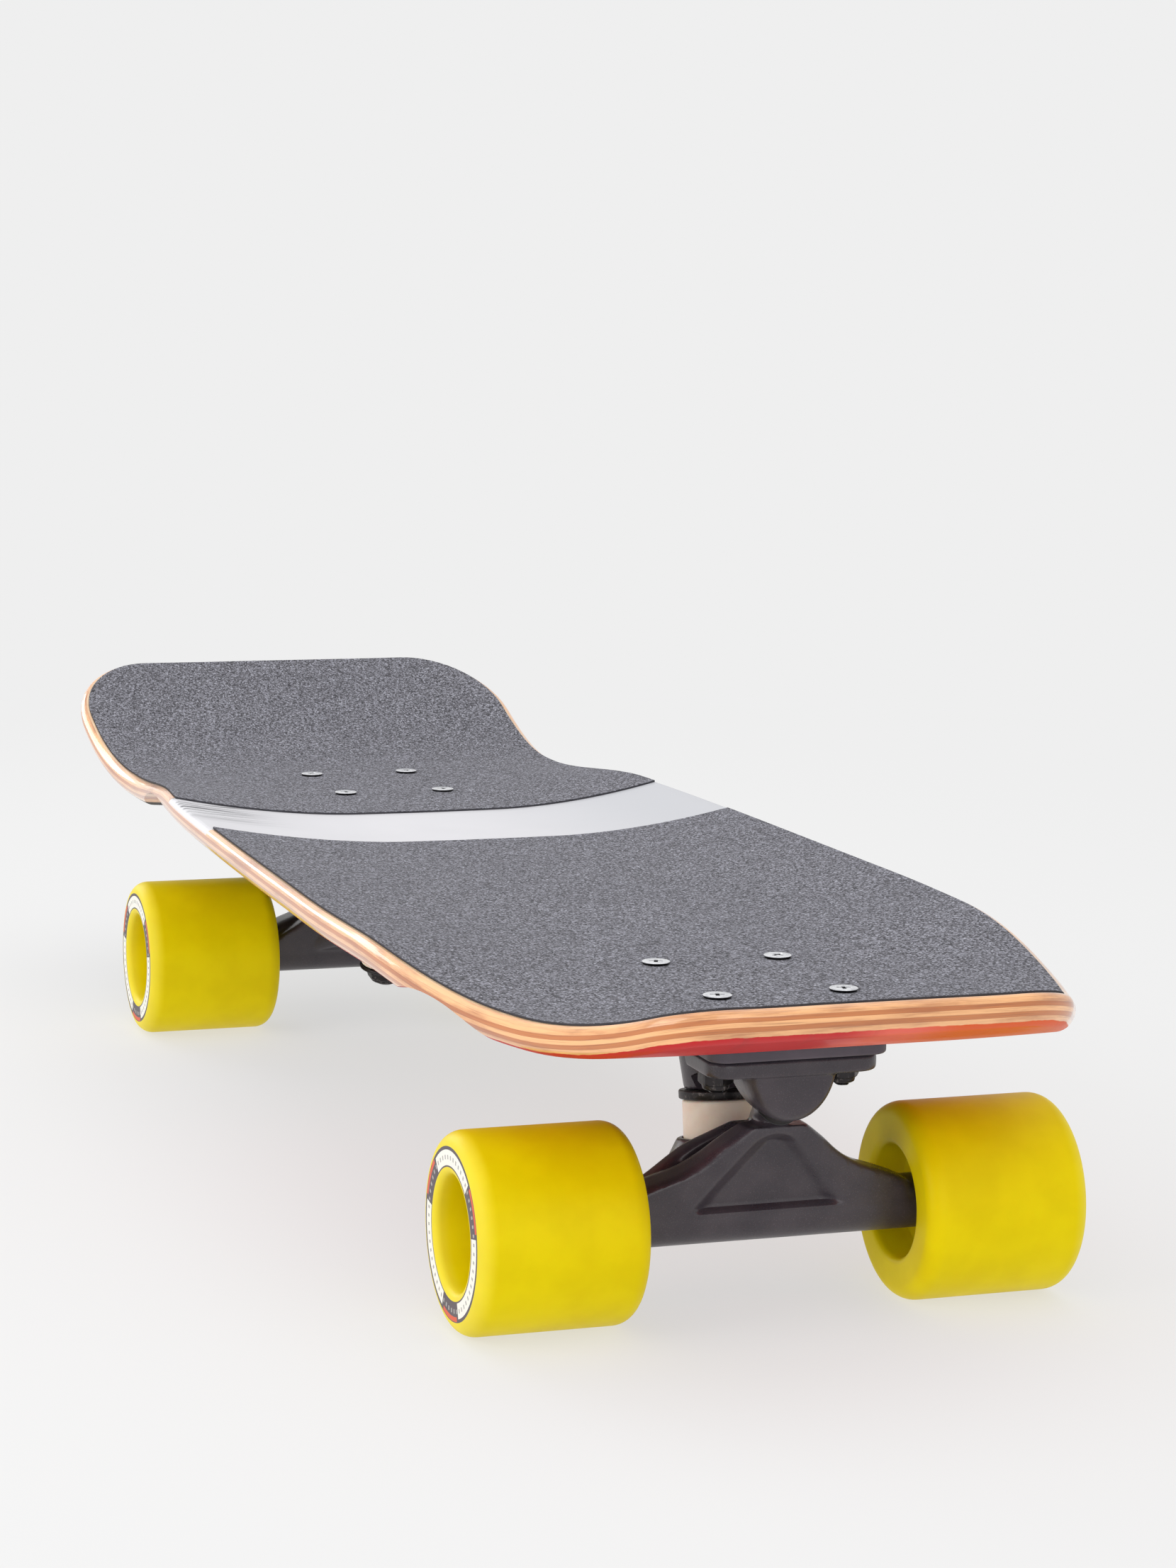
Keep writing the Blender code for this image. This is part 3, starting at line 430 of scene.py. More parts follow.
def plies_in_maple(finish, layers, depth):
    """The plies' colours from the top down, their fibres, and how near a point is to a glue line."""
    pale, tan = rgb(250, 188, 130), rgb(200, 122, 66)
    streak_brown, fibre_brown, glue_brown = rgb(166, 96, 56), rgb(132, 78, 46), rgb(120, 76, 50)
    waver = finish.noise(90, 3, 0.6, finish.stretch((0.25, 0.25, 1.0), layers))
    wavering = finish.plus(depth, finish.span(waver, 0.2, 0.8, -0.012, 0.012))
    plies = [pale, pale, tan, pale, tan, pale, pale]
    edge = finish.ramp(wavering, [(i / PLIES, colour) for i, colour in enumerate(plies)], "CONSTANT")
    streaks = finish.noise(25, 5, 0.65, finish.stretch((1.0, 1.0, 10), layers))
    edge = finish.mix(finish.span(streaks, 0.42, 0.72, 0.0, 0.75), edge, streak_brown)
    fibres = finish.noise(900, 2, 0.5, finish.stretch((0.05, 0.05, 2.5), layers))
    edge = finish.mix(finish.span(fibres, 0.5, 0.8, 0.0, 0.45), edge, fibre_brown)
    in_ply = finish.math("FRACT", finish.times(wavering, PLIES))
    beside = finish.math("ABSOLUTE", finish.math("SUBTRACT", in_ply, 0.5))
    edge = finish.mix(finish.span(beside, 0.455, 0.5, 0.0, 0.4), edge, glue_brown)
    return edge, fibres, beside


def silver_band(finish, along, across, depth):
    """Where the silver paint lies, and its colour, brushed dark at the rear near one edge, and greyed
    towards +Y as painted shade.
    """
    shaded, scuffed = rgb(198, 199, 204), rgb(92, 92, 97)
    past_rear = across_band(finish, along, across, (BAND_REAR[0] - BAND_LAP[0], BAND_REAR[1]))
    past_front = across_band(finish, along, across, (BAND_FRONT[0] + BAND_LAP[1], BAND_FRONT[1]))
    band = finish.times(finish.span(past_rear, 0, BAND_EDGE), finish.span(past_front, BAND_EDGE, 0))
    band = finish.times(band, finish.span(depth, 0.30, 0.22))
    brushed = finish.noise(30, 6, 0.75, finish.stretch((16, 0.5, 1.0)))
    streaky = finish.times(finish.span(brushed, 0.46, 0.58), finish.span(across, -60 * MM, -90 * MM))
    streaky = finish.times(streaky, finish.span(past_rear, 60 * MM, 20 * MM))
    streaky = finish.times(streaky, finish.span(depth, 0.1, 0.03))
    silver = finish.mix(finish.noise(25, 3), rgb(214, 213, 217), rgb(224, 223, 227))
    # Painted shade: the silver is greyed towards +Y, standing in for less light falling on that side.
    silver = finish.mix(finish.span(across, 0.0, 90 * MM), silver, shaded)
    return band, finish.mix(streaky, silver, scuffed)


def underside_paint(finish, along, across):
    """Red to orange, dark towards the tail, round a ragged charcoal panel with cream waves."""
    red, pink, orange = rgb(196, 20, 26), rgb(232, 100, 82), rgb(222, 86, 20)
    tail_grey, dark_red, cream = rgb(58, 56, 60), rgb(120, 34, 30), rgb(226, 198, 152)
    fade = finish.noise(9, 3, 0.5)
    toward_tail = finish.plus(along, finish.span(fade, 0.2, 0.8, -20 * MM, 20 * MM))
    sunset = finish.plus(across, finish.span(fade, 0.2, 0.8, -10 * MM, 10 * MM))
    warm = finish.mix(finish.span(sunset, -15 * MM, 5 * MM), red, pink)
    warm = finish.mix(finish.span(sunset, 10 * MM, 30 * MM), warm, orange)
    paint = finish.mix(finish.span(toward_tail, 20 * MM, -60 * MM), warm, tail_grey)
    brushwork = finish.noise(16, 5, 0.65, finish.stretch((0.5, 7, 1)))
    paint = finish.mix(finish.span(brushwork, 0.5, 0.75, 0.0, 0.35), paint, dark_red)

    wander = finish.span(finish.noise(70, 4, 0.6), 0.2, 0.8, -2 * MM, 2 * MM)
    from_middle = finish.plus(finish.math("ABSOLUTE", across), wander)
    from_centre = finish.plus(finish.math("ABSOLUTE", along), wander)
    in_width = finish.span(from_middle, PANEL_HALF[1] + PANEL_EDGE, PANEL_HALF[1])
    in_length = finish.span(from_centre, PANEL_HALF[0] + PANEL_EDGE, PANEL_HALF[0])
    swell = finish.times(finish.math("SINE", finish.times(across, WAVE_RADIANS_PER_METRE)), WAVE_SWELL)
    swelling = finish.plus(along, swell)
    crests = finish.math("SINE", finish.times(swelling, 2 * math.pi / WAVE_PITCH))
    from_trough = finish.math("ABSOLUTE", finish.plus(swelling, WAVE_PITCH / 4))
    shown = finish.math("LESS_THAN", from_trough, WAVES_SHOWN / 2 * WAVE_PITCH)
    waves = finish.times(finish.span(crests, 0.72, 0.78), shown)
    charcoal = finish.mix(finish.span(brushwork, 0.3, 0.7), rgb(44, 42, 47), rgb(66, 63, 68))
    return finish.mix(finish.times(in_width, in_length), paint, finish.mix(waves, charcoal, cream))


def maple_finish():
    """Lacquered plies at the edge and the wells, silver paint over the band, and the painted underside."""
    finish = Finish("lacquered_maple", Coat_Roughness=0.1, Specular_IOR_Level=0.3)
    along, across, _ = finish.axes()
    below_top = finish.attribute("depth")
    layers = finish.node("ShaderNodeCombineXYZ", {0: along, 1: across, 2: below_top}).outputs[0]
    depth = finish.math("DIVIDE", below_top, DECK_THICKNESS)
    edge, fibres, beside = plies_in_maple(finish, layers, depth)
    grain = finish.noise(40, 6, 0.6, finish.stretch((0.6, 9, 9)))
    face = finish.mix(finish.span(grain, 0.3, 0.75), rgb(240, 208, 168), rgb(214, 166, 118))
    colour = finish.mix(finish.math("LESS_THAN", depth, 0.012), edge, face)
    band, silver = silver_band(finish, along, across, depth)
    colour = finish.mix(band, colour, silver)
    ragged = finish.plus(depth, finish.span(finish.noise(150, 3, 0.6), 0.2, 0.8, -0.02, 0.02))
    painted = finish.span(ragged, 0.84, 0.865)
    colour = finish.mix(painted, colour, underside_paint(finish, along, across))

    covered = finish.math("MAXIMUM", band, painted)
    gloss = finish.span(covered, 0, 1, 1.0, 0.1)
    rough = finish.span(covered, 0, 1, 0.38, 0.5)
    height = finish.plus(fibres, finish.span(beside, 0.44, 0.5, 0.0, -1.5))
    relief = finish.bump(height, 0.03 * MM, 0.5)
    return finish.set(Base_Color=colour, Roughness=rough, Coat_Weight=gloss, Normal=relief)


upper_edge = quarter_round(ROUND_STEPS[0], UPPER_ROUND, -EDGE_WIDEST, 0)
lower_edge = quarter_round(ROUND_STEPS[1], LOWER_ROUND, -EDGE_WIDEST, -DECK_THICKNESS)
board_sheet = deck_sheet(-DECK_TIP, DECK_TIP, 0, upper_edge, lower_edge)
deck = finish_mesh("deck_board", board_sheet, maple_finish())
wells = bolt_holes()
for well_x, well_y in WELL_AT:
    top = deck_height(well_x, half_width(well_x)) - DECK_THICKNESS + WELL_DEPTH
    radii = [WELL_REACH * ring / WELL_RINGS for ring in range(WELL_RINGS + 1)]
    lens = [(r, math.sqrt(WELL_SPHERE**2 - r * r) - WELL_SPHERE) for r in radii]
    lens.append((0, lens[-1][1] - WELL_DEPTH))
    for side in (-1, 1):
        turned(wells, lens, LARGE_STEPS, Matrix.Translation((well_x, side * well_y, top)))
cut_away(deck, wells, sharp=16)
depths = [deck_height(v.co.x, v.co.y) - v.co.z for v in deck.data.vertices]
deck.data.attributes.new("depth", "FLOAT", "POINT").data.foreach_set("value", depths)
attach(deck, "board")
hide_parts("deck")


# The grip tape: two sheets of charcoal grit on a thin backing, stuck to the top and trimmed a little
# inside its edge. A bare band is left between them, with bowed borders.

GRIP_THICKNESS = 0.8 * MM
GRIP_GAP = 0.05 * MM
GRIP_INSET = 3.5 * MM
GRIP_EDGE = 0.25 * MM
GRIP_TOLERANCE = 0.1 * MM


def grit_finish():
    """Charcoal grains of mixed sizes, the palest blue-grey ones painted glints, over the sheet's dark cut
    edge.
    """
    finish = Finish("grit", Roughness=0.9, Specular_IOR_Level=0.35)
    fine = finish.grains(1700)
    coarse = finish.noise(900, 3, 0.75)
    patches = finish.noise(22, 3, 0.55)
    shade = finish.plus(finish.times(fine, 0.45), finish.times(coarse, 0.55))
    # The grains' own greys run up into pale blue-grey, and those palest grains are painted glints.
    greys = [
        (0.25, rgb(44, 43, 48)), (0.48, rgb(102, 101, 107)),
        (0.68, rgb(147, 147, 157)), (0.85, rgb(204, 205, 216)),
    ]
    colour = finish.ramp(shade, greys)
    colour = finish.mix(finish.span(patches, 0.3, 0.7, 0.0, 0.12), colour, rgb(90, 90, 98))
    colour = finish.mix(finish.attribute("edge"), colour, rgb(62, 61, 66))
    return finish.set(Base_Color=colour, Normal=finish.bump(shade, 0.25 * MM, 0.6))


grip_top = GRIP_GAP + GRIP_THICKNESS
grip_upper = [(0, GRIP_GAP), (0, grip_top - GRIP_EDGE), (GRIP_EDGE, grip_top)]
grit = grit_finish()
for name, start, end, borders in (
    ("griptape_front", BAND_FRONT[0], DECK_TIP, (BAND_FRONT, None)),
    ("griptape_rear", -DECK_TIP, BAND_REAR[0], (None, BAND_REAR)),
):
    sheet = deck_sheet(start, end, GRIP_INSET, grip_upper, [(0, GRIP_GAP)], borders)
    grip = cut_away(finish_mesh(f"{name}_sheet", sheet, grit), bolt_holes(), sharp=30)
    sunk = [deck_height(v.co.x, v.co.y) + grip_top - v.co.z for v in grip.data.vertices]
    edge_marks = grip.data.attributes.new("edge", "FLOAT", "POINT").data
    edge_marks.foreach_set("value", [0.0 if depth < GRIP_TOLERANCE else 1.0 for depth in sunk])
    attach(grip, "board")
    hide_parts(name)


# The riser pads: moulded black plastic blocks with rounded corners. They lie between the deck and the
# trucks, and the same bolts hold them.

RISER_TOP = 92.15 * MM
RISER_SIZE = (92 * MM, 58 * MM, 5.6 * MM)
RISER_CORNER = 6 * MM
RISER_EDGE = 0.9 * MM
BLOCK_STEPS = 6


def rounded_block(bm, size, centre, corner, edge, place, steps=BLOCK_STEPS):
    """Adds a box with rounded upright corners and softened edges to a bmesh."""
    box = bmesh.new()
    bmesh.ops.create_cube(box, size=1)
    bmesh.ops.scale(box, vec=size, verts=box.verts)
    upright = [e for e in box.edges if abs(e.verts[0].co.z - e.verts[1].co.z) > size[2] / 2]
    bmesh.ops.bevel(box, geom=upright, offset=corner, segments=2 * steps, affect="EDGES", profile=0.5)
    rims = [e for e in box.edges if abs(e.verts[0].co.z - e.verts[1].co.z) < MERGE]
    rims = [e for e in rims if len(e.link_faces) == 2]
    bmesh.ops.bevel(box, geom=rims, offset=edge, segments=steps, affect="EDGES", profile=0.5)
    bmesh.ops.transform(box, matrix=place @ Matrix.Translation(centre), verts=box.verts)
    made = bpy.data.meshes.new("block")
    box.to_mesh(made)
    box.free()
    bm.from_mesh(made)
    bpy.data.meshes.remove(made)


def moulded_finish(name, dark, light, roughness):
    """Black plastic with a fine spark-eroded texture."""
    finish = Finish(name, Specular_IOR_Level=0.4)
    pebble = finish.noise(1600, 2, 0.6)
    wear = finish.noise(60, 4, 0.6)
    colour = finish.mix(finish.span(wear, 0.35, 0.75), dark, light)
    rough = finish.span(wear, 0.3, 0.7, roughness - 0.07, roughness + 0.07)
    return finish.set(Base_Color=colour, Roughness=rough, Normal=finish.bump(pebble, 0.06 * MM, 0.5))


riser_plastic = moulded_finish("riser_plastic", rgb(76, 70, 79), rgb(90, 83, 92), 0.5)
for end in TRUCK_AT:
    bm = bmesh.new()
    centre = (0, 0, RISER_TOP - RISER_SIZE[2] / 2)
    rounded_block(bm, RISER_SIZE, centre, RISER_CORNER, RISER_EDGE, truck_place(end))
    riser = cut_away(finish_mesh(f"riser_pad_{end}", bm, riser_plastic), bolt_holes(), sharp=30)
    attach(riser, "board")
    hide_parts(f"riser_{end}")


# The baseplates: cast aluminium under satin black powder coat. Each has a flange under the riser, a
# boss that holds the kingpin, and a housing for the pivot cup, all with the soft edges of a casting.

FLANGE_TOP = 86.0 * MM
FLANGE_SPAN = (-41.0 * MM, 42.6 * MM)
FLANGE_WIDTH = 55.4 * MM
FLANGE_THICKNESS = 5.4 * MM
FLANGE_CORNER = 7 * MM
FLANGE_EDGE = 1.2 * MM
RING_CENTRE = (-18.8 * MM, 42.5 * MM)
KINGPIN_LEAN = math.radians(9)
KINGPIN_BORE = 5.2 * MM
KINGPIN_HEAD = (36.8 * MM, 42.0 * MM)
KINGPIN_POCKET = 8.5 * MM
BOSS_BOTTOM = 20.8 * MM
BOSS_RADII = (11.5 * MM, 14.0 * MM)
PIVOT_POINT = (30.0 * MM, 71.0 * MM)
CUP_SPAN = (-3.5 * MM, 5.0 * MM)
CUP_RADIUS = 7.0 * MM
HOUSING_HALF_WIDTH = 15 * MM
HOUSING_BOTTOM = 65.0 * MM
HOUSING_FULLNESS = 0.95
HOUSING_SECTIONS = (
    (16 * MM, 1.0), (24 * MM, 1.0), (33 * MM, 1.0), (36 * MM, 0.985),
    (38.5 * MM, 0.95), (40.2 * MM, 0.89), (41 * MM, 0.82),
)
HOUSING_STEPS = 40
BOSS_SUNK = 2.2 * MM
KINGPIN_HOLE_TOP = 60 * MM
CUP_BORE_RUN = 20 * MM
MOUTH_TRIM = (44 * MM, 60 * MM, 40 * MM)
MOUTH_TRIM_CORNER = 1 * MM
MOUTH_TRIM_EDGE = 0.2 * MM
CUT_PLAY = 0.3 * MM
CAST_VOXEL = 0.7 * MM
MEDIUM_STEPS = 64
SMALL_STEPS = 48
steer_run = PIVOT_POINT[0] - RING_CENTRE[0]
steer_rise = PIVOT_POINT[1] - RING_CENTRE[1]
pivot_distance = math.hypot(steer_run, steer_rise)


def kingpin_place(end):
    """The middle of the hanger's ring, with local +Z up the kingpin."""
    ring = Matrix.Translation((RING_CENTRE[0], 0, RING_CENTRE[1]))
    return truck_place(end) @ ring @ Matrix.Rotation(-KINGPIN_LEAN, 4, "Y")


def steer_place(end):
    """The middle of the hanger's ring, with local +Z along the steering axis to the pivot."""
    ring = Matrix.Translation((RING_CENTRE[0], 0, RING_CENTRE[1]))
    return truck_place(end) @ ring @ Matrix.Rotation(math.atan2(steer_run, steer_rise), 4, "Y")


def loft(bm, rings):
    """Skins a row of rings that have the same number of points, and caps both ends."""
    loops = [[bm.verts.new(point) for point in ring] for ring in rings]
    count = len(loops[0])
    for low, high in zip(loops, loops[1:]):
        for i in range(count):
            bm.faces.new((low[i], low[(i + 1) % count], high[(i + 1) % count], high[i]))
    bm.faces.new(reversed(loops[0]))
    bm.faces.new(loops[-1])


def rod(bm, radius, top, bottom, steps, place):
    """Adds a plain round rod to a bmesh."""
    turned(bm, [(0, top), (radius, top), (radius, bottom), (0, bottom)], steps, place)


def cast(obj, smoothing):
    """Melts overlapping solids into one skin, with the soft inner corners of a casting."""
    remesh = obj.modifiers.new("melt", "REMESH")
    remesh.mode = "VOXEL"
    remesh.voxel_size = CAST_VOXEL
    soften = obj.modifiers.new("soften", "SMOOTH")
    soften.factor = 0.5
    soften.iterations = smoothing
    return settle(obj)


def powder_coat_finish():
    """Satin black powder coat: a fine orange peel with pin-prick speckle, and paler clouds."""
    finish = Finish("black_powder_coat", Metallic=0.0, Specular_IOR_Level=0.5)
    speckle = finish.noise(2600, 2, 0.7)
    clouds = finish.noise(70, 4, 0.55)
    colour = finish.mix(finish.span(clouds, 0.3, 0.75), rgb(52, 47, 54), rgb(66, 60, 66))
    colour = finish.mix(finish.span(speckle, 0.56, 0.72, 0.0, 0.4), colour, rgb(108, 101, 106))
    peel = finish.plus(finish.noise(900, 2, 0.5), finish.times(speckle, 0.4))
    rough = finish.span(clouds, 0.3, 0.7, 0.26, 0.37)
    return finish.set(Base_Color=colour, Roughness=rough, Normal=finish.bump(peel, 0.07 * MM, 0.55))


black_casting = powder_coat_finish()
for end in TRUCK_AT:
    bm = bmesh.new()
    size = (FLANGE_SPAN[1] - FLANGE_SPAN[0], FLANGE_WIDTH, FLANGE_THICKNESS)
    centre = (sum(FLANGE_SPAN) / 2, 0, FLANGE_TOP - FLANGE_THICKNESS / 2)
    rounded_block(bm, size, centre, FLANGE_CORNER, FLANGE_EDGE, truck_place(end))
    cast_top = FLANGE_TOP - FLANGE_EDGE
    boss_top = (cast_top - RING_CENTRE[1]) / math.cos(KINGPIN_LEAN) - BOSS_SUNK
    boss = [(0, boss_top), (BOSS_RADII[1], boss_top), (BOSS_RADII[0], BOSS_BOTTOM), (0, BOSS_BOTTOM)]
    turned(bm, boss, MEDIUM_STEPS, kingpin_place(end))
    arc = [math.pi * i / HOUSING_STEPS for i in range(HOUSING_STEPS + 1)]
    sections = []
    for u, scale in HOUSING_SECTIONS:
        half = HOUSING_HALF_WIDTH * scale
        drop = (cast_top - HOUSING_BOTTOM) * scale
        ring = []
        for turn in arc:
            down = math.sin(turn) ** HOUSING_FULLNESS
            ring.append(truck_place(end) @ Vector((u, half * math.cos(turn), cast_top - drop * down)))
        sections.append(ring)
    loft(bm, sections)
    baseplate = cast(finish_mesh(f"baseplate_casting_{end}", bm, black_casting), smoothing=3)

    cutters = bolt_holes()
    pocket_floor = KINGPIN_HEAD[0] - CUT_PLAY
    kingpin_hole = [
        (0, KINGPIN_HOLE_TOP), (KINGPIN_POCKET, KINGPIN_HOLE_TOP), (KINGPIN_POCKET, pocket_floor),
        (KINGPIN_BORE, pocket_floor), (KINGPIN_BORE, BOSS_BOTTOM - MM), (0, BOSS_BOTTOM - MM),
    ]
    turned(cutters, kingpin_hole, SMALL_STEPS, kingpin_place(end))
    cup_end = pivot_distance + CUP_SPAN[1] + CUT_PLAY
    cup_start = pivot_distance - CUP_BORE_RUN
    rod(cutters, CUP_RADIUS + CUT_PLAY, cup_end, cup_start, MEDIUM_STEPS, steer_place(end))
    cut_away(baseplate, cutters, sharp=35)
    trim = bmesh.new()
    trim_centre = (0, 0, pivot_distance + CUP_SPAN[0] - MOUTH_TRIM[2] / 2)
    trim_edges = (MOUTH_TRIM_CORNER, MOUTH_TRIM_EDGE)
    rounded_block(trim, MOUTH_TRIM, trim_centre, *trim_edges, steer_place(end), steps=1)
    cut_away(baseplate, trim, sharp=35)
    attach(baseplate, "board")
    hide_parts(f"baseplate_{end}")


# The deck bolts: eight plated steel bolts with flat countersunk heads and cross recesses, four to a truck.
# They are dropped through the deck, the riser and the baseplate, and their ends are threaded.

BOLT_HEAD_TOP = 103.9 * MM
BOLT_CROWN = (4.25 * MM, 103.84 * MM)
CROWN_FLAT = (2 * MM, 103.89 * MM)
CROWN_EDGE = 0.14 * MM
BOLT_RADIUS = 2.4 * MM
BOLT_END = 73.6 * MM
BOLT_PITCH = 0.79 * MM
BOLT_THREAD_TURNS = 10.0
BOLT_CHAMFER = 0.3 * MM
# The depth and the ridge's half width are shares of a thread's pitch. The run-out is in turns.
THREAD_DEPTH = 0.8
THREAD_RIDGE = 0.42
THREAD_RUNOUT = 0.5
THREAD_STEPS = 20
CROSS_REACH = 2.75 * MM
CROSS_HALF_WIDTH = 0.7 * MM
CROSS_DEPTH = 1.9 * MM
CROSS_TAPER = 0.5
TURN_SEED = 7


class Maker(Wiring):
    """A geometry node tree with named inputs. It ends by realising its copies and setting their material."""

    def __init__(self, name, **sizes):
        super().__init__(bpy.data.node_groups.new(name, "GeometryNodeTree"))
        face = self.tree.interface
        face.new_socket("Geometry", in_out="OUTPUT", socket_type="NodeSocketGeometry")
        kinds = {"Geometry": "Geometry", **sizes, "Material": "Material"}
        self.inputs = {}
        for socket_name, kind in kinds.items():
            made = face.new_socket(socket_name, in_out="INPUT", socket_type=f"NodeSocket{kind}")
            self.inputs[socket_name] = made.identifier
        given = self.tree.nodes.new("NodeGroupInput")
        self.given = {socket_name: given.outputs[socket_name] for socket_name in kinds}

    def end(self, geometry):
        """Closes the tree."""
        realised = self.node("GeometryNodeRealizeInstances", {0: geometry}).outputs[0]
        inputs = {"Geometry": realised, "Material": self.given["Material"]}
        coloured = self.node("GeometryNodeSetMaterial", inputs).outputs[0]
        self.wire(self.tree.nodes.new("NodeGroupOutput").inputs[0], coloured)

    def make(self, obj, sharp=40, **values):
        """Runs the tree on an object and keeps the result as the object's own plain mesh."""
        modifier = obj.modifiers.new("make", "NODES")
        modifier.node_group = self.tree
        for socket_name, value in values.items():
            modifier[self.inputs[socket_name]] = value
        return settle(obj, sharp)


def thread_maker():
    """Winds a thread's ridge round the end of a rod that stands along Z."""
    maker = Maker("thread_on_rod", Radius="Float", Pitch="Float", Turns="Float", Start="Float")
    given = maker.given
    ridge = maker.times(given["Pitch"], THREAD_RIDGE)
    middle = maker.math("SUBTRACT", given["Radius"], ridge)
    rise = maker.times(given["Pitch"], given["Turns"])
    sizes = {"Resolution": THREAD_STEPS, "Rotations": given["Turns"], "Height": rise}
    helix = maker.node("GeometryNodeCurveSpiral", {**sizes, "Start Radius": middle, "End Radius": middle})
    upright = maker.node("GeometryNodeSetCurveNormal", {"Curve": helix.outputs[0]}, mode="Z_UP")
    diamond = {"Resolution": 4, "Radius": ridge}
    section = maker.node("GeometryNodeCurvePrimitiveCircle", diamond, mode="RADIUS")
    inputs = {"Curve": upright.outputs[0], "Profile Curve": section.outputs[0], "Fill Caps": True}
    wound = maker.node("GeometryNodeCurveToMesh", inputs).outputs[0]
    start = maker.node("ShaderNodeCombineXYZ", {"Z": given["Start"]}).outputs[0]
    placed = maker.node("GeometryNodeTransform", {"Geometry": wound, "Translation": start}).outputs[0]
    joined = maker.node("GeometryNodeJoinGeometry")
    maker.tree.links.new(given["Geometry"], joined.inputs[0])
    maker.tree.links.new(placed, joined.inputs[0])
    maker.end(joined.outputs[0])
    return maker


def fastener_maker():
    """Puts a copy of a fastener on each point, turned at random about its own axis."""
    maker = Maker("fasteners_on_holes", Fastener="Object", Seed="Int")
    source = maker.node("GeometryNodeObjectInfo", {"Object": maker.given["Fastener"]})
    chance = maker.node("FunctionNodeRandomValue", {"Seed": maker.given["Seed"]}, data_type="FLOAT_VECTOR")
    chance.inputs[0].default_value = (0, 0, 0)
    chance.inputs[1].default_value = (0, 0, 2 * math.pi)
    inputs = {"Points": maker.given["Geometry"], "Instance": source.outputs["Geometry"]}
    copies = maker.node("GeometryNodeInstanceOnPoints", {**inputs, "Rotation": chance.outputs[0]})
    maker.end(copies.outputs[0])
    return maker


def on_bolt_holes(name, fastener, material, seed):
    """One mesh of eight fasteners, one on the axis of each bolt hole."""
    mesh = bpy.data.meshes.new(name)
    mesh.from_pydata([place.translation for place in bolt_places()], [], [])
    obj = bpy.data.objects.new(name, mesh)
    bpy.context.scene.collection.objects.link(obj)
    place_fasteners.make(obj, Fastener=fastener, Seed=seed, Material=material)
    bpy.data.objects.remove(fastener)
    return obj


def plated_finish():
    """Bright plate on the heads, with painted shade in the cross recess and at the head's lower edge, and
    dark steel down the shank.
    """
    finish = Finish("bright_plate", Metallic=0.55, Roughness=0.3)
    _, _, height = finish.axes()
    scuffs = finish.noise(900, 4, 0.7)
    bright = finish.mix(finish.span(scuffs, 0.35, 0.75), rgb(232, 233, 236), rgb(186, 187, 192))
    # Painted shade: below the crown the plate turns near black in the cross recess and at the head's lower
    # edge; down the shank the same dark stands for dark steel.
    lower = finish.span(height, BOLT_CROWN[1] - 0.35 * MM, BOLT_CROWN[1] - 0.12 * MM)
    colour = finish.mix(lower, rgb(34, 32, 34), bright)
    return finish.set(Base_Color=colour, Normal=finish.bump(scuffs, 0.02 * MM, 0.6))


add_thread = thread_maker()
place_fasteners = fastener_maker()
bright_plate = plated_finish()
neck_height = BOLT_HEAD_RIM - BOLT_HEAD_RADIUS + BOLT_RADIUS
core_radius = BOLT_RADIUS - THREAD_DEPTH * BOLT_PITCH
thread_top = BOLT_END + BOLT_PITCH * BOLT_THREAD_TURNS
bolt_profile = [
    (0, BOLT_HEAD_TOP), CROWN_FLAT, BOLT_CROWN,
    (BOLT_HEAD_RADIUS, BOLT_CROWN[1] - CROWN_EDGE), (BOLT_HEAD_RADIUS, BOLT_HEAD_RIM),
    (BOLT_RADIUS, neck_height), (BOLT_RADIUS, thread_top), (core_radius, thread_top),
    (core_radius, BOLT_END + BOLT_CHAMFER), (core_radius - BOLT_CHAMFER, BOLT_END), (0, BOLT_END),
]
bm = bmesh.new()
turned(bm, bolt_profile, SMALL_STEPS)
bolt = finish_mesh("one_bolt", bm, None)
for turn in (0, math.pi / 2):
    bar = bmesh.new()
    bmesh.ops.create_cube(bar, size=2)
    for vert in bar.verts:
        taper = 1.0 if vert.co.z > 0 else CROSS_TAPER
        vert.co.x *= CROSS_REACH * taper
        vert.co.y *= CROSS_HALF_WIDTH * (0.5 + taper / 2)
        vert.co.z = BOLT_HEAD_TOP + (MM if vert.co.z > 0 else -CROSS_DEPTH)
    bmesh.ops.rotate(bar, matrix=Matrix.Rotation(turn, 3, "Z"), verts=bar.verts)
    cut_away(bolt, bar)
thread = {"Radius": BOLT_RADIUS, "Pitch": BOLT_PITCH, "Turns": BOLT_THREAD_TURNS - THREAD_RUNOUT}
add_thread.make(bolt, **thread, Start=BOLT_END + BOLT_CHAMFER, Material=bright_plate)
deck_bolts = on_bolt_holes("deck_bolts", bolt, bright_plate, TURN_SEED)
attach(deck_bolts, "board")
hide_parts(*(f"deck_bolt_{end}_{number}" for end in TRUCK_AT for number in (1, 2, 3, 4)))


# The deck nuts: eight black steel lock nuts, screwed up against the baseplates' flanges. Each has a round
# collar at its far end, which holds a nylon ring.

NUT_FLATS = 9.5 * MM
NUT_SPAN = (80.3 * MM, 74.7 * MM)
NUT_CHAMFER = 0.07
NUT_SHOULDER = 0.72
NUT_STEPS = 72


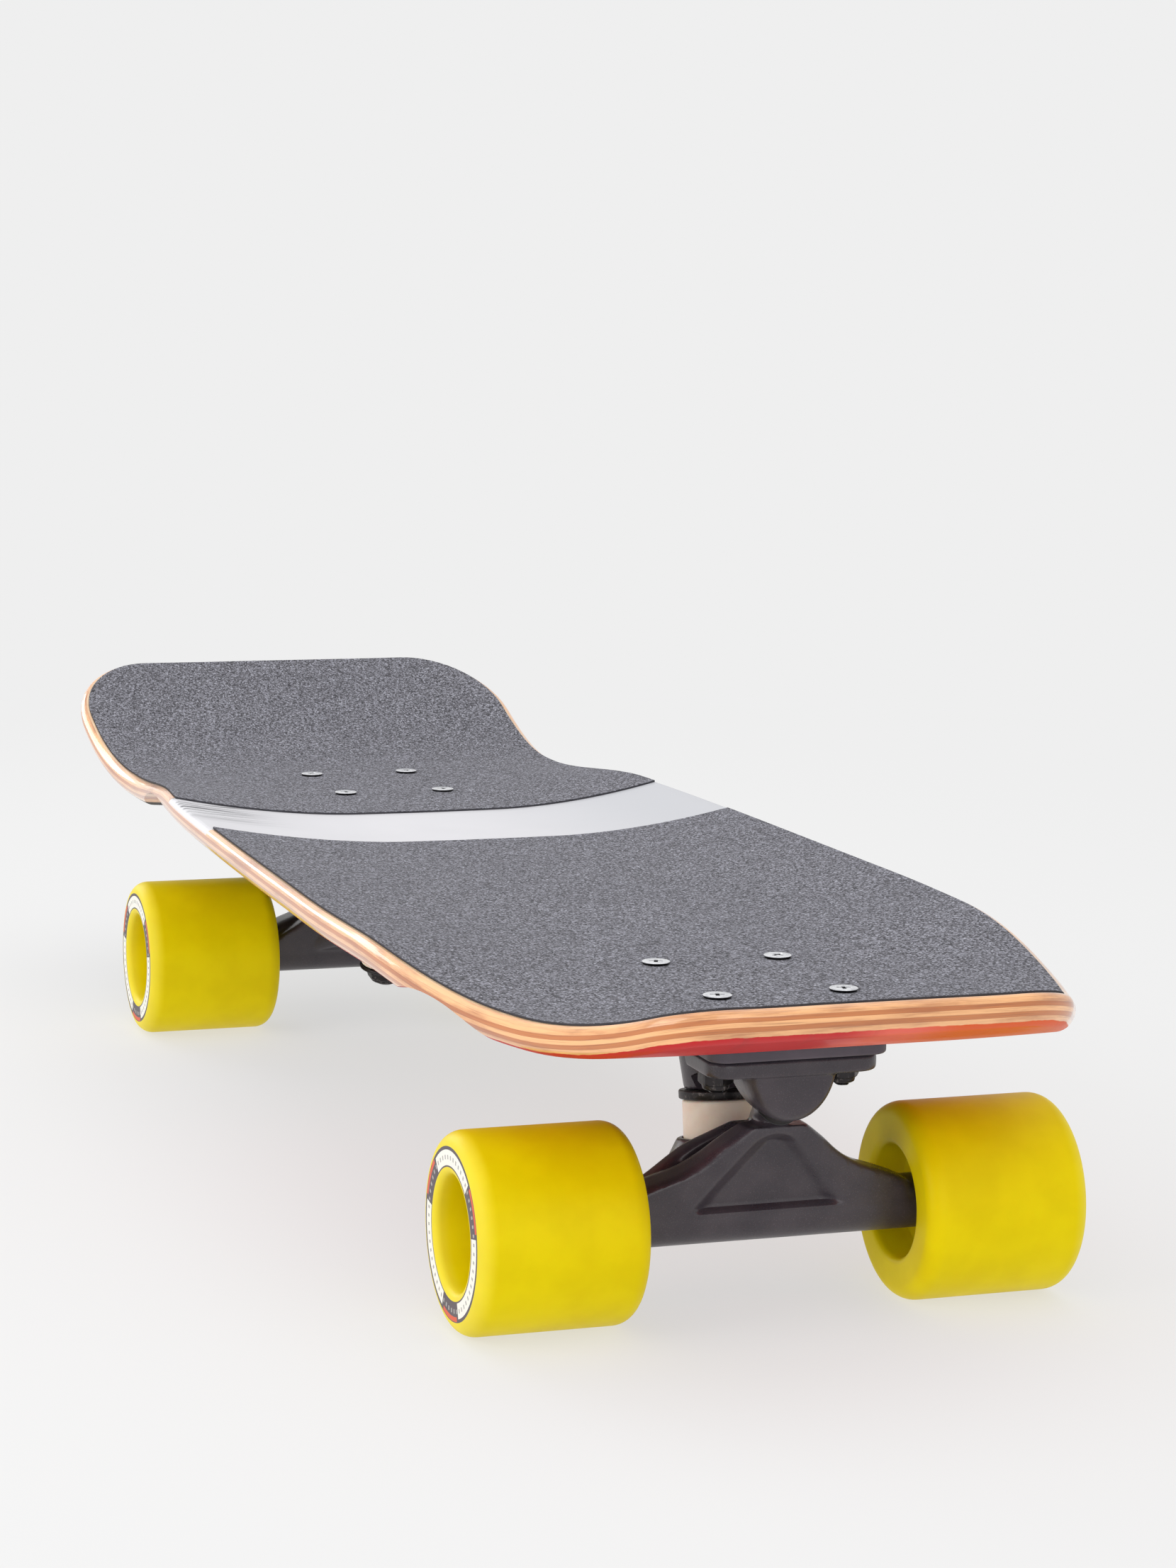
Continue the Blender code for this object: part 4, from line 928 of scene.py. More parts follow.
def lock_nut(bm, flats, bore, near, far, place=Matrix()):
    """Adds a lock nut, from the end against what it clamps to the end with its collar."""
    half = flats / 2
    bevel = NUT_CHAMFER * flats
    along = (far - near) / abs(far - near)
    shoulder = near + NUT_SHOULDER * (far - near)
    rows = [
        (bore, near + along * 0.4 * MM), (bore + 0.4 * MM, near), (0.95 * half, near),
        (1.04 * half, near + along * bevel * 0.4), (1.2 * half, near + along * bevel),
        (1.2 * half, shoulder - along * bevel), (1.04 * half, shoulder - along * bevel * 0.4),
        (0.95 * half, shoulder), (0.88 * half, shoulder), (0.87 * half, far - along * 0.7 * MM),
        (0.82 * half, far - along * 0.2 * MM), (0.74 * half, far), (bore + 0.2 * MM, far),
        (bore, far - along * 0.3 * MM),
    ]
    turned(bm, rows, NUT_STEPS, place, flats)


def black_steel_finish():
    """Black oxide on steel, oily and worn bright in fine scratches."""
    finish = Finish("black_oxide", Metallic=0.75, Specular_IOR_Level=0.6)
    scuffs = finish.noise(500, 5, 0.7)
    scratches = finish.noise(800, 3, 0.6, finish.stretch((1, 1, 0.08)))
    colour = finish.mix(finish.span(scuffs, 0.52, 0.72), rgb(46, 43, 44), rgb(112, 106, 104))
    colour = finish.mix(finish.span(scratches, 0.6, 0.75, 0.0, 0.6), colour, rgb(150, 144, 140))
    rough = finish.span(scuffs, 0.3, 0.7, 0.32, 0.5)
    return finish.set(Base_Color=colour, Roughness=rough, Normal=finish.bump(scuffs, 0.03 * MM, 0.5))


black_steel = black_steel_finish()
bm = bmesh.new()
lock_nut(bm, NUT_FLATS, BOLT_RADIUS, *NUT_SPAN)
deck_nuts = on_bolt_holes("deck_nuts", finish_mesh("one_nut", bm, None), black_steel, TURN_SEED + 1)
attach(deck_nuts, "board")
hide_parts(*(f"deck_nut_{end}_{number}" for end in TRUCK_AT for number in (1, 2, 3, 4)))


# The pivot cups: black plastic cups, moulded with a small lip at the mouth, and pressed into the housings
# of the baseplates.

CUP_WALL = 2.2 * MM
CUP_FLOOR = 1.0 * MM
CUP_LIP = 0.5 * MM
CUP_CHAMFER = 0.5 * MM
cup_plastic = moulded_finish("cup_plastic", rgb(28, 27, 28), rgb(44, 42, 43), 0.45)
for end in TRUCK_AT:
    low, high = (pivot_distance + span for span in CUP_SPAN)
    inner = CUP_RADIUS - CUP_WALL
    cup_profile = [
        (0, high), (CUP_RADIUS - CUP_CHAMFER, high), (CUP_RADIUS, high - CUP_CHAMFER),
        (CUP_RADIUS, low - 0.1 * MM), (CUP_RADIUS + 0.3 * MM, low - 0.2 * MM),
        (CUP_RADIUS + 0.2 * MM, low - CUP_LIP), (inner + CUP_CHAMFER, low - CUP_LIP),
        (inner, low), (inner, high - CUP_FLOOR), (0, high - CUP_FLOOR),
    ]
    bm = bmesh.new()
    turned(bm, cup_profile, MEDIUM_STEPS, steer_place(end))
    cup = finish_mesh(f"pivot_cup_moulding_{end}", bm, cup_plastic)
    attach(cup, "board")
    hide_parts(f"pivot_cup_{end}")


# The kingpins: steel bolts that hold each truck together. Each runs from its pocket in the baseplate down
# through both bushings to a lock nut. A cupped washer closes each end of the stack.

KINGPIN_RADIUS = 4.76 * MM
KINGPIN_END = -21.6 * MM
KINGPIN_FLATS = 14.2 * MM
KINGPIN_PITCH = 1.06 * MM
KINGPIN_THREAD_TURNS = 6.0
KINGPIN_CHAMFER = 0.5 * MM
HEAD_RADII = (6.4 * MM, 8.4 * MM)
HEAD_CHAMFER = 0.9 * MM
KINGPIN_NUT = (-15.3 * MM, -20.6 * MM)
WASHER_BOARD = (13.3 * MM, 17.5 * MM, 20.5 * MM)
WASHER_ROAD = (11.0 * MM, -13.5 * MM, -15.0 * MM)
WASHER_CORNER = 0.7 * MM
WASHER_CORNER_STEPS = 10
WASHER_DISH = 0.35


def steel_finish(name, light, dark):
    """Plain machined steel, a little dulled."""
    finish = Finish(name, Metallic=0.9)
    turning = finish.noise(700, 4, 0.6, finish.stretch((1, 1, 6)))
    stains = finish.noise(120, 4, 0.6)
    colour = finish.mix(finish.span(stains, 0.35, 0.7), light, dark)
    rough = finish.span(turning, 0.3, 0.7, 0.24, 0.42)
    return finish.set(Base_Color=colour, Roughness=rough, Normal=finish.bump(turning, 0.02 * MM, 0.4))


def cupped_washer(bm, radius, open_side, closed_side, place):
    """A dished washer with a rolled rim. Its open side faces the bushing."""
    depth = closed_side - open_side
    corner = math.copysign(WASHER_CORNER, depth)
    rows = [(KINGPIN_BORE, open_side + depth * WASHER_DISH), (KINGPIN_BORE, closed_side)]
    for step in range(WASHER_CORNER_STEPS + 1):
        turn = math.pi / 2 - math.pi * step / WASHER_CORNER_STEPS
        upper = closed_side - corner * (1 - math.sin(turn))
        lower = open_side + corner * (1 + math.sin(turn))
        height = upper if step <= WASHER_CORNER_STEPS / 2 else lower
        rows.append((radius - WASHER_CORNER * (1 - math.cos(turn)), height))
    rows.append((radius - 1.6 * WASHER_CORNER, open_side + depth * WASHER_DISH))
    turned(bm, rows, LARGE_STEPS, place)


kingpin_steel = steel_finish("kingpin_steel", rgb(150, 148, 148), rgb(104, 102, 104))
for end in TRUCK_AT:
    head_low, head_high = KINGPIN_HEAD
    core = KINGPIN_RADIUS - THREAD_DEPTH * KINGPIN_PITCH
    thread_top = KINGPIN_END + KINGPIN_PITCH * KINGPIN_THREAD_TURNS
    bm = bmesh.new()
    profile = [
        (0, head_high), (HEAD_RADII[0], head_high), (HEAD_RADII[1], head_high - HEAD_CHAMFER),
        (HEAD_RADII[1], head_low), (KINGPIN_RADIUS, head_low),
        (KINGPIN_RADIUS, thread_top), (core, thread_top),
        (core, KINGPIN_END + KINGPIN_CHAMFER), (core - KINGPIN_CHAMFER, KINGPIN_END), (0, KINGPIN_END),
    ]
    turned(bm, profile, NUT_STEPS, flats=KINGPIN_FLATS)
    kingpin = finish_mesh(f"kingpin_bolt_{end}", bm, None)
    turns = KINGPIN_THREAD_TURNS - THREAD_RUNOUT
    thread = {"Radius": KINGPIN_RADIUS, "Pitch": KINGPIN_PITCH, "Turns": turns}
    add_thread.make(kingpin, **thread, Start=KINGPIN_END + KINGPIN_CHAMFER, Material=kingpin_steel)
    kingpin.data.transform(kingpin_place(end))
    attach(kingpin, "board")
    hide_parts(f"kingpin_{end}")

    bm = bmesh.new()
    lock_nut(bm, KINGPIN_FLATS, KINGPIN_RADIUS, *KINGPIN_NUT, kingpin_place(end))
    kingpin_nut = finish_mesh(f"kingpin_lock_nut_{end}", bm, black_steel)
    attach(kingpin_nut, "board")
    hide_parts(f"kingpin_nut_{end}")
    for name, sizes in (("board", WASHER_BOARD), ("road", WASHER_ROAD)):
        bm = bmesh.new()
        cupped_washer(bm, *sizes, kingpin_place(end))
        washer = finish_mesh(f"cupped_washer_{name}_{end}", bm, black_steel)
        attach(washer, "board")
        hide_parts(f"washer_{name}_{end}")


# The bushings: poured cream urethane, a barrel above the hanger's ring and a cone below it. They are
# squeezed as the hanger turns.

# Each is its radius at the board's end and at the ring's end, and the heights of those ends.
BUSHING_BARREL = (12.2 * MM, 12.2 * MM, 17.3 * MM, 4.0 * MM)
BUSHING_CONE = (10.2 * MM, 12.0 * MM, -13.4 * MM, -4.0 * MM)
BUSHING_ROWS = 28
BUSHING_END_ROUND = 0.9 * MM


def bushing_finish():
    """Cream urethane, a little clouded, with fine scuffs and some light inside it."""
    finish = Finish("bushing_urethane", Roughness=0.42, Subsurface_Weight=0.25, Subsurface_Scale=3 * MM)
    clouds = finish.noise(150, 4, 0.55)
    scuffs = finish.noise(700, 4, 0.6, finish.stretch((1, 1, 5)))
    colour = finish.mix(finish.span(clouds, 0.3, 0.7), rgb(252, 236, 220), rgb(244, 224, 206))
    colour = finish.mix(finish.span(scuffs, 0.62, 0.8, 0.0, 0.35), colour, rgb(212, 186, 166))
    return finish.set(Base_Color=colour, Normal=finish.bump(scuffs, 0.03 * MM, 0.4))


cream_urethane = bushing_finish()
for end in TRUCK_AT:
    for name, (board_radius, ring_radius, board_end, ring_end) in (
        ("board", BUSHING_BARREL), ("road", BUSHING_CONE),
    ):
        outside = []
        length = abs(ring_end - board_end)
        for row in range(BUSHING_ROWS + 1):
            t = row / BUSHING_ROWS
            from_end = min(t, 1 - t) * length
            short = max(0.0, 1 - from_end / BUSHING_END_ROUND)
            rounded = BUSHING_END_ROUND * (1 - math.sqrt(1 - short**2))
            radius = board_radius + (ring_radius - board_radius) * t - rounded
            outside.append((radius, board_end + (ring_end - board_end) * t))
        bm = bmesh.new()
        profile = [(KINGPIN_BORE, board_end), *outside, (KINGPIN_BORE, ring_end)]
        turned(bm, profile, LARGE_STEPS, kingpin_place(end))
        bushing = finish_mesh(f"bushing_{name}_poured_{end}", bm, cream_urethane, sharp=60)
        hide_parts(f"bushing_{name}_{end}")
        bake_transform(bushing)


# The hangers: cast aluminium under the same coat. Each is an axle tube with a leaning triangular web, a
# second web behind it, a ring round the kingpin's bushings, and a pin that turns in the pivot cup.

AXLE_OUTBOARD = 12.1 * MM
AXLE_HEIGHT = 31.27 * MM
AXLE_RADIUS = 3.97 * MM
AXLE_HALF = 89.0 * MM
TUBE_RADIUS = 8.6 * MM
TUBE_HALF = 54.7 * MM
TUBE_CHAMFER = 0.6 * MM
RING_HEIGHT = 10.5 * MM
RING_OUTSIDE = ((14.2 * MM, 5.25 * MM), (17.6 * MM, -1.0 * MM), (15.6 * MM, -5.25 * MM))
RING_HOLE = 7.6 * MM
RING_SEAT = (12.8 * MM, 3.75 * MM)
# The webs' level sections: height, middle, half thickness and half width, in the truck's own frame.
WEB_SECTIONS_MM = (
    (31.4, 12.1, 8.2, 51.5), (39.0, 13.8, 8.2, 48.5), (43.5, 15.4, 7.8, 39.0), (47.0, 17.0, 7.4, 29.5),
    (51.5, 18.8, 7.0, 22.3), (57.0, 21.2, 6.4, 16.0), (61.8, 23.2, 5.2, 10.0),
)
REAR_WEB_SECTIONS_MM = (
    (31.4, 8.0, 4.8, 49.0), (39.0, 5.6, 4.4, 41.0), (43.6, 4.6, 3.9, 33.5),
    (51.0, 4.2, 3.6, 22.6), (55.5, 5.0, 3.3, 13.0), (58.5, 6.0, 3.0, 6.5),
)
# The upright sections of the arms and the spine: place along the board, half width, height and half height.
ARM_SECTIONS_MM = (
    (-15.0, 12.5, 42.4, 3.9), (-6.0, 16.5, 41.0, 4.6), (3.0, 28.0, 37.5, 5.4), (12.0, 42.0, 33.0, 6.0),
)
SPINE_SECTIONS_MM = (
    (-8.0, 7.0, 43.5, 4.5), (2.0, 6.0, 48.0, 7.0), (12.0, 6.0, 53.0, 8.0), (22.0, 6.0, 55.0, 5.0),
)
# The pin and its stem: radii, and heights over the pivot.
STEM_MM = (
    (0, 3.2), (3.1, 2.4), (4.4, 0.2), (4.4, -5.5), (5.8, -6.5), (5.6, -10.5), (3.6, -20.5), (0, -20.5),
)
WEB_ROUNDING = 0.6
ARM_ROUNDING = 3.5
RECESS_HEIGHTS = (33.8 * MM, 60.5 * MM)
RECESS_HALVES = (28.5 * MM, 6.0 * MM)
RECESS_DEPTHS = (3.0 * MM, 5.6 * MM)
RECESS_RAMP = 9.0 * MM
RECESS_STEP = 2.0 * MM
RECESS_FACING = 0.2
SECTION_STEPS = 6
SECTION_CORNER_STEPS = 9


def smoothly(sections):
    """Adds sections between those given, on smooth curves through them."""
    made = []
    last = len(sections) - 1
    for i in range(last):
        before, a, b, after = (sections[min(max(k, 0), last)] for k in (i - 1, i, i + 1, i + 2))
        for step in range(SECTION_STEPS + (i == last - 1)):
            t = step / SECTION_STEPS
            row = []
            for p, q, r, s in zip(before, a, b, after):
                bend = t * t * (3 - 2 * t)
                leave = (r - p) / 2 * t * (1 - t) ** 2
                arrive = (s - q) / 2 * t * t * (t - 1)
                row.append(q + (r - q) * bend + leave + arrive)
            made.append(row)
    return made


def rounded_ring(half_a, half_b, round_off):
    """A rounded rectangle about its own middle."""
    points = []
    for quarter, (sign_a, sign_b) in enumerate(((1, 1), (-1, 1), (-1, -1), (1, -1))):
        for step in range(SECTION_CORNER_STEPS + 1):
            turn = math.pi / 2 * (quarter + step / SECTION_CORNER_STEPS)
            a = sign_a * (half_a - round_off) + round_off * math.cos(turn)
            b = sign_b * (half_b - round_off) + round_off * math.sin(turn)
            points.append((a, b))
    return points


def level_loft(bm, sections):
    """Adds a web, from its level sections."""
    rings = []
    for z, u, half_u, half_y in smoothly(sections):
        ring = rounded_ring(half_u, half_y, min(half_u, half_y) * WEB_ROUNDING)
        rings.append([((u + a) * MM, b * MM, z * MM) for a, b in ring])
    loft(bm, rings)


def upright_loft(bm, sections):
    """Adds the arms or the spine, from their upright sections."""
    rings = []
    for u, half_y, z, half_z in smoothly(sections):
        ring = rounded_ring(half_y, half_z, ARM_ROUNDING)
        rings.append([(u * MM, a * MM, (z + b) * MM) for a, b in ring])
    loft(bm, rings)


def press_recess(mesh):
    """Presses the triangular recess into the outboard face: a crisp foot, and soft upper sides."""
    foot, peak = RECESS_HEIGHTS
    for vert in mesh.vertices:
        u, y, z = vert.co
        if vert.normal.x < RECESS_FACING or u < AXLE_OUTBOARD or not foot < z < peak:
            continue
        climb = (z - foot) / (peak - foot)
        half = RECESS_HALVES[0] + (RECESS_HALVES[1] - RECESS_HALVES[0]) * climb
        depth = RECESS_DEPTHS[0] + (RECESS_DEPTHS[1] - RECESS_DEPTHS[0]) * climb
        sides = ease((half - abs(y)) / RECESS_RAMP) * ease((peak - z) / (RECESS_RAMP / 2))
        vert.co.x -= depth * sides * ease((z - foot) / RECESS_STEP)


for end in TRUCK_AT:
    to_local = truck_place(end).inverted()
    bm = bmesh.new()
    tube_end = [(TUBE_RADIUS - TUBE_CHAMFER, TUBE_HALF), (TUBE_RADIUS, TUBE_HALF - TUBE_CHAMFER)]
    half_tube = [(0, TUBE_HALF), *tube_end]
    tube = half_tube + [(radius, -height) for radius, height in reversed(half_tube)]
    axle_line = Matrix.Translation((AXLE_OUTBOARD, 0, AXLE_HEIGHT)) @ Matrix.Rotation(math.pi / 2, 4, "X")
    turned(bm, tube, LARGE_STEPS, axle_line)
    level_loft(bm, WEB_SECTIONS_MM)
    level_loft(bm, REAR_WEB_SECTIONS_MM)
    upright_loft(bm, ARM_SECTIONS_MM)
    upright_loft(bm, SPINE_SECTIONS_MM)
    half = RING_HEIGHT / 2
    turned(bm, [(0, half), *RING_OUTSIDE, (0, -half)], LARGE_STEPS, to_local @ kingpin_place(end))
    stem = [(radius * MM, pivot_distance + height * MM) for radius, height in STEM_MM]
    turned(bm, stem, MEDIUM_STEPS, to_local @ steer_place(end))
    hanger = cast(finish_mesh(f"hanger_casting_{end}", bm, black_casting), smoothing=5)
    press_recess(hanger.data)

    cutters = bmesh.new()
    seat_radius, seat_depth = RING_SEAT
    ring_hole = [
        (0, RING_HEIGHT), (seat_radius, RING_HEIGHT), (seat_radius, seat_depth), (RING_HOLE, seat_depth),
        (RING_HOLE, -seat_depth), (seat_radius, -seat_depth), (seat_radius, -RING_HEIGHT), (0, -RING_HEIGHT),
    ]
    turned(cutters, ring_hole, LARGE_STEPS, to_local @ kingpin_place(end))
    rod(cutters, AXLE_RADIUS + CUT_PLAY, AXLE_HALF, -AXLE_HALF, SMALL_STEPS, axle_line)
    cut_away(hanger, cutters, sharp=35)
    hanger.data.transform(truck_place(end))
    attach(hanger, f"{end}_hanger")
    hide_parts(f"hanger_{end}")


# The axles: plain steel rods that the hangers are cast round. Both of their ends are threaded for the
# wheels' lock nuts.

AXLE_PITCH = 1.06 * MM
AXLE_THREAD_TURNS = 9.0
AXLE_CHAMFER = 0.5 * MM
AXLE_RUNOUT = 0.8
axle_steel = steel_finish("axle_steel", rgb(196, 194, 192), rgb(140, 138, 138))
for end in TRUCK_AT:
    core = AXLE_RADIUS - THREAD_DEPTH * AXLE_PITCH
    thread_start = AXLE_HALF - AXLE_PITCH * AXLE_THREAD_TURNS
    half_profile = [
        (0, AXLE_HALF), (core - AXLE_CHAMFER, AXLE_HALF), (core, AXLE_HALF - AXLE_CHAMFER),
        (core, thread_start), (AXLE_RADIUS, thread_start),
    ]
    bm = bmesh.new()
    profile = half_profile + [(radius, -height) for radius, height in reversed(half_profile)]
    turned(bm, profile, SMALL_STEPS)
    axle = finish_mesh(f"axle_rod_{end}", bm, None)
    thread = {"Radius": AXLE_RADIUS, "Pitch": AXLE_PITCH, "Turns": AXLE_THREAD_TURNS - AXLE_RUNOUT}
    for start in (thread_start, -AXLE_HALF + AXLE_CHAMFER):
        add_thread.make(axle, **thread, Start=start, Material=axle_steel)
    axle.data.transform(truck_place(end) @ axle_line)
    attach(axle, f"{end}_hanger")
    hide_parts(f"axle_{end}")


# The wheels: poured yellow urethane, wide and soft, with rounded lips and a deep hub round each pair of
# bearings. A ring of plain bars is printed on the outer face, in three equal fields.

AXLE_X = {"front": 259.1 * MM, "rear": -188.1 * MM}
SIDES = {"left": 1, "right": -1}
WHEEL_RADIUS = AXLE_HEIGHT
WHEEL_OUTER_FACE = 99.3 * MM
WHEEL_WIDTH = 54.3 * MM
WHEEL_MIDDLE = WHEEL_OUTER_FACE - WHEEL_WIDTH / 2
LIP_RADIAL = 4.9 * MM
LIP_AXIAL = 5.8 * MM
LIP_STEPS = 10
HUB_MOUTH = 17.8 * MM
MOUTH_ROUND = 2.4 * MM
MOUTH_STEPS = 5
HUB_FLOOR = 16.8 * MM
FLOOR_ROUND = 2.0 * MM
BEARING_LEDGE = 2.5 * MM
CORE_MIDDLE = 68.0 * MM
CORE_HALF = 12.0 * MM
BEARING_RADIUS = 11.0 * MM
BEARING_WIDTH = 7.0 * MM
PRINT_RADII = (20.25 * MM, 26.6 * MM)
PRINT_FIELDS = 3
PRINT_TICKS = 54
# How far each part of the print is from the ring's inner and outer edge, and its share of each field.
WHITE_INSETS = (0.5 * MM, 1.1 * MM)
WHITE_SHARE = (0.16, 0.84)
RUST_INSETS = (4.6 * MM, 0.3 * MM)
RUST_SHARES = ((0, 0.13), (0.87, 1))
TICK_INSETS = (2.3 * MM, 2.7 * MM)
TICK_SHARE = (0.32, 0.68)
PRINT_DEPTH = 0.6 * MM
WHEEL_PATH = 20 * MM
WHEEL_STEPS = 160


def wheel_place(end, side):
    """The middle of a wheel, with local +Z outwards along the axle and local +Y up."""
    facing = Matrix.Rotation(math.pi / 2, 4, "X")
    if side == "left":
        facing = Matrix.Rotation(math.pi, 4, "Z") @ facing
    return Matrix.Translation((AXLE_X[end], SIDES[side] * WHEEL_MIDDLE, AXLE_HEIGHT)) @ facing


def wheel_profile():
    """From the outer face over the lip and tread to the inner face, then back through the core."""
    half = WHEEL_WIDTH / 2
    turns = [math.pi / 2 * step / LIP_STEPS for step in range(LIP_STEPS + 1)]
    flat = WHEEL_RADIUS - LIP_RADIAL
    outer = [(flat + LIP_RADIAL * math.sin(turn), half - LIP_AXIAL * (1 - math.cos(turn))) for turn in turns]
    inner = [(r, -z) for r, z in reversed(outer)]
    low = CORE_MIDDLE - CORE_HALF - WHEEL_MIDDLE
    high = CORE_MIDDLE + CORE_HALF - WHEEL_MIDDLE
    seat = BEARING_RADIUS + CUT_PLAY
    ledge = BEARING_RADIUS - BEARING_LEDGE
    floor = [
        (HUB_FLOOR, FLOOR_ROUND), (HUB_FLOOR - 0.6 * FLOOR_ROUND, 0.3 * MM), (HUB_FLOOR - FLOOR_ROUND, 0),
    ]
    mouth = []
    for step in range(MOUTH_STEPS + 1):
        turn = math.pi / 2 * step / MOUTH_STEPS
        height = half - MOUTH_ROUND * (1 - math.sin(turn))
        mouth.append((HUB_MOUTH + MOUTH_ROUND * (1 - math.cos(turn)), height))
    bore = [
        *((r, -z) for r, z in reversed(mouth)),
        *((r, low - z) for r, z in floor),
        (seat, low), (seat, low + BEARING_WIDTH), (ledge, low + BEARING_WIDTH),
        (ledge, high - BEARING_WIDTH), (seat, high - BEARING_WIDTH), (seat, high),
        *((r, high + z) for r, z in reversed(floor)),
        *mouth,
    ]
    return outer + inner + bore


def wheel_maker():
    """Sweeps a closed profile round a circle, and keeps each point's place on the wheel for its material."""
    maker = Maker("turned_wheel", Path_Radius="Float", Steps="Int")
    outline = maker.node("GeometryNodeMeshToCurve", {0: maker.given["Geometry"]}).outputs[0]
    sizes = {"Resolution": maker.given["Steps"], "Radius": maker.given["Path_Radius"]}
    path = maker.node("GeometryNodeCurvePrimitiveCircle", sizes, mode="RADIUS").outputs[0]
    swept = maker.node("GeometryNodeCurveToMesh", {"Curve": path, "Profile Curve": outline}).outputs[0]
    spot = maker.node("GeometryNodeInputPosition").outputs[0]
    inputs = {"Geometry": swept, "Name": "wheel", "Value": spot}
    kept = maker.node("GeometryNodeStoreNamedAttribute", inputs, data_type="FLOAT_VECTOR", domain="POINT")
    maker.end(kept.outputs[0])
    return maker


def urethane_finish():
    """Yellow urethane with faint flow clouds, a painted highlight paler over the outer lip, and the plain
    ring printed on the outer face.
    """
    finish = Finish("yellow_urethane", Roughness=0.42, Specular_IOR_Level=0.08, Subsurface_Weight=0.1)
    finish.set(Subsurface_Scale=2 * MM)
    local = finish.attribute("wheel", "Vector")
    right, up, out = finish.axes(local)
    clouds = finish.noise(60, 3, 0.5, local)
    colour = finish.mix(finish.span(clouds, 0.3, 0.7), rgb(224, 201, 0), rgb(232, 210, 2))
    squares = (finish.times(right, right), finish.times(up, up))
    radius = finish.math("SQRT", finish.plus(*squares))
    angle = finish.math("ARCTAN2", up, right)
    on_face = finish.math("GREATER_THAN", out, WHEEL_WIDTH / 2 - PRINT_DEPTH)
    # Painted highlight: the outer lip is tinted pale yellow, standing in for the light that strikes it.
    lip = finish.times(finish.span(out, WHEEL_WIDTH / 2 - LIP_AXIAL, WHEEL_WIDTH / 2), 0.2)
    colour = finish.mix(lip, colour, rgb(246, 232, 120))

    def within(value, low, high):
        return finish.times(finish.math("GREATER_THAN", value, low), finish.math("LESS_THAN", value, high))

    def ring(insets, count=0, share=(0, 1)):
        """The printed ring inside two insets, or one share of each of a number of equal fields of it."""
        inner, outer = PRINT_RADII
        shown = finish.times(within(radius, inner + insets[0], outer - insets[1]), on_face)
        if not count:
            return shown
        fields = finish.times(finish.plus(angle, math.pi / 2), count / (2 * math.pi))
        return finish.times(shown, within(finish.math("FRACT", fields), *share))

    dark_grey, white, rust, grey = rgb(96, 88, 92), rgb(236, 234, 224), rgb(216, 98, 72), rgb(172, 167, 163)
    colour = finish.mix(ring((0, 0)), colour, dark_grey)
    colour = finish.mix(ring(WHITE_INSETS, PRINT_FIELDS, WHITE_SHARE), colour, white)
    rust_bars = finish.math("MAXIMUM", *(ring(RUST_INSETS, PRINT_FIELDS, share) for share in RUST_SHARES))
    colour = finish.mix(rust_bars, colour, rust)
    colour = finish.mix(ring(TICK_INSETS, PRINT_TICKS, TICK_SHARE), colour, grey)
    soft = finish.noise(700, 2, 0.5, local)
    return finish.set(Base_Color=colour, Normal=finish.bump(soft, 0.02 * MM, 0.5))


turn_wheel = wheel_maker()
urethane = urethane_finish()
for end in AXLE_X:
    for side in SIDES:
        points = [(radius - WHEEL_PATH, -height, 0) for radius, height in wheel_profile()]
        links = [(i, (i + 1) % len(points)) for i in range(len(points))]
        outline = bpy.data.meshes.new("wheel_outline")
        outline.from_pydata(points, links, [])
        wheel = bpy.data.objects.new(f"wheel_{end}_{side}_tyre", outline)
        bpy.context.scene.collection.objects.link(wheel)
        turn_wheel.make(wheel, sharp=30, Path_Radius=WHEEL_PATH, Steps=WHEEL_STEPS, Material=urethane)
        wheel.data.transform(wheel_place(end, side))
        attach(wheel, f"{end}_{side}_wheel")
        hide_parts(f"wheel_{end}_{side}")


# The bearings: two to a wheel, steel rings with pressed shields, pushed into the wheel's core. Each inner
# race carries its speed washer outside and half of the spacer inside.

BEARING_BORE = 4.3 * MM
RACE_RADIUS = 5.8 * MM
RACE_REACH = 0.9 * MM
SHIELD_SPAN = (6.6 * MM, 9.4 * MM)
SHIELD_DEPTH = 0.45 * MM
SHIELD_SLOPE = 0.2 * MM
BEARING_CHAMFER = 0.3 * MM
SPACER_GAP = 0.15 * MM
bearing_steel = steel_finish("bearing_steel", rgb(206, 204, 200), rgb(160, 157, 154))
shield_in, shield_out = SHIELD_SPAN
bearing_half = [
    (RACE_RADIUS, BEARING_WIDTH), (shield_in - SHIELD_SLOPE, BEARING_WIDTH),
    (shield_in, BEARING_WIDTH - SHIELD_DEPTH), (shield_out, BEARING_WIDTH - SHIELD_DEPTH),
    (shield_out + SHIELD_SLOPE, BEARING_WIDTH), (BEARING_RADIUS - BEARING_CHAMFER, BEARING_WIDTH),
    (BEARING_RADIUS, BEARING_WIDTH - BEARING_CHAMFER),
]
spacer = CORE_HALF - BEARING_WIDTH - SPACER_GAP
race_face = BEARING_WIDTH + RACE_REACH
bearing_profile = [
    (BEARING_BORE, race_face), (RACE_RADIUS, race_face), *bearing_half,
    *((radius, BEARING_WIDTH - height) for radius, height in reversed(bearing_half)),
    (RACE_RADIUS, -spacer), (BEARING_BORE, -spacer),
]
for end in AXLE_X:
    for side in SIDES:
        bm = bmesh.new()
        for facing in (1, -1):
            core_face = CORE_MIDDLE - WHEEL_MIDDLE + facing * (CORE_HALF - BEARING_WIDTH)
            turn = Matrix.Rotation(0 if facing == 1 else math.pi, 4, "X")
            place = wheel_place(end, side) @ Matrix.Translation((0, 0, core_face)) @ turn
            turned(bm, bearing_profile, LARGE_STEPS, place)
        bearings = finish_mesh(f"bearings_{end}_{side}", bm, bearing_steel, sharp=30)
        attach(bearings, f"{end}_{side}_wheel")
        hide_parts(f"bearing_{end}_{side}_outer", f"bearing_{end}_{side}_inner")


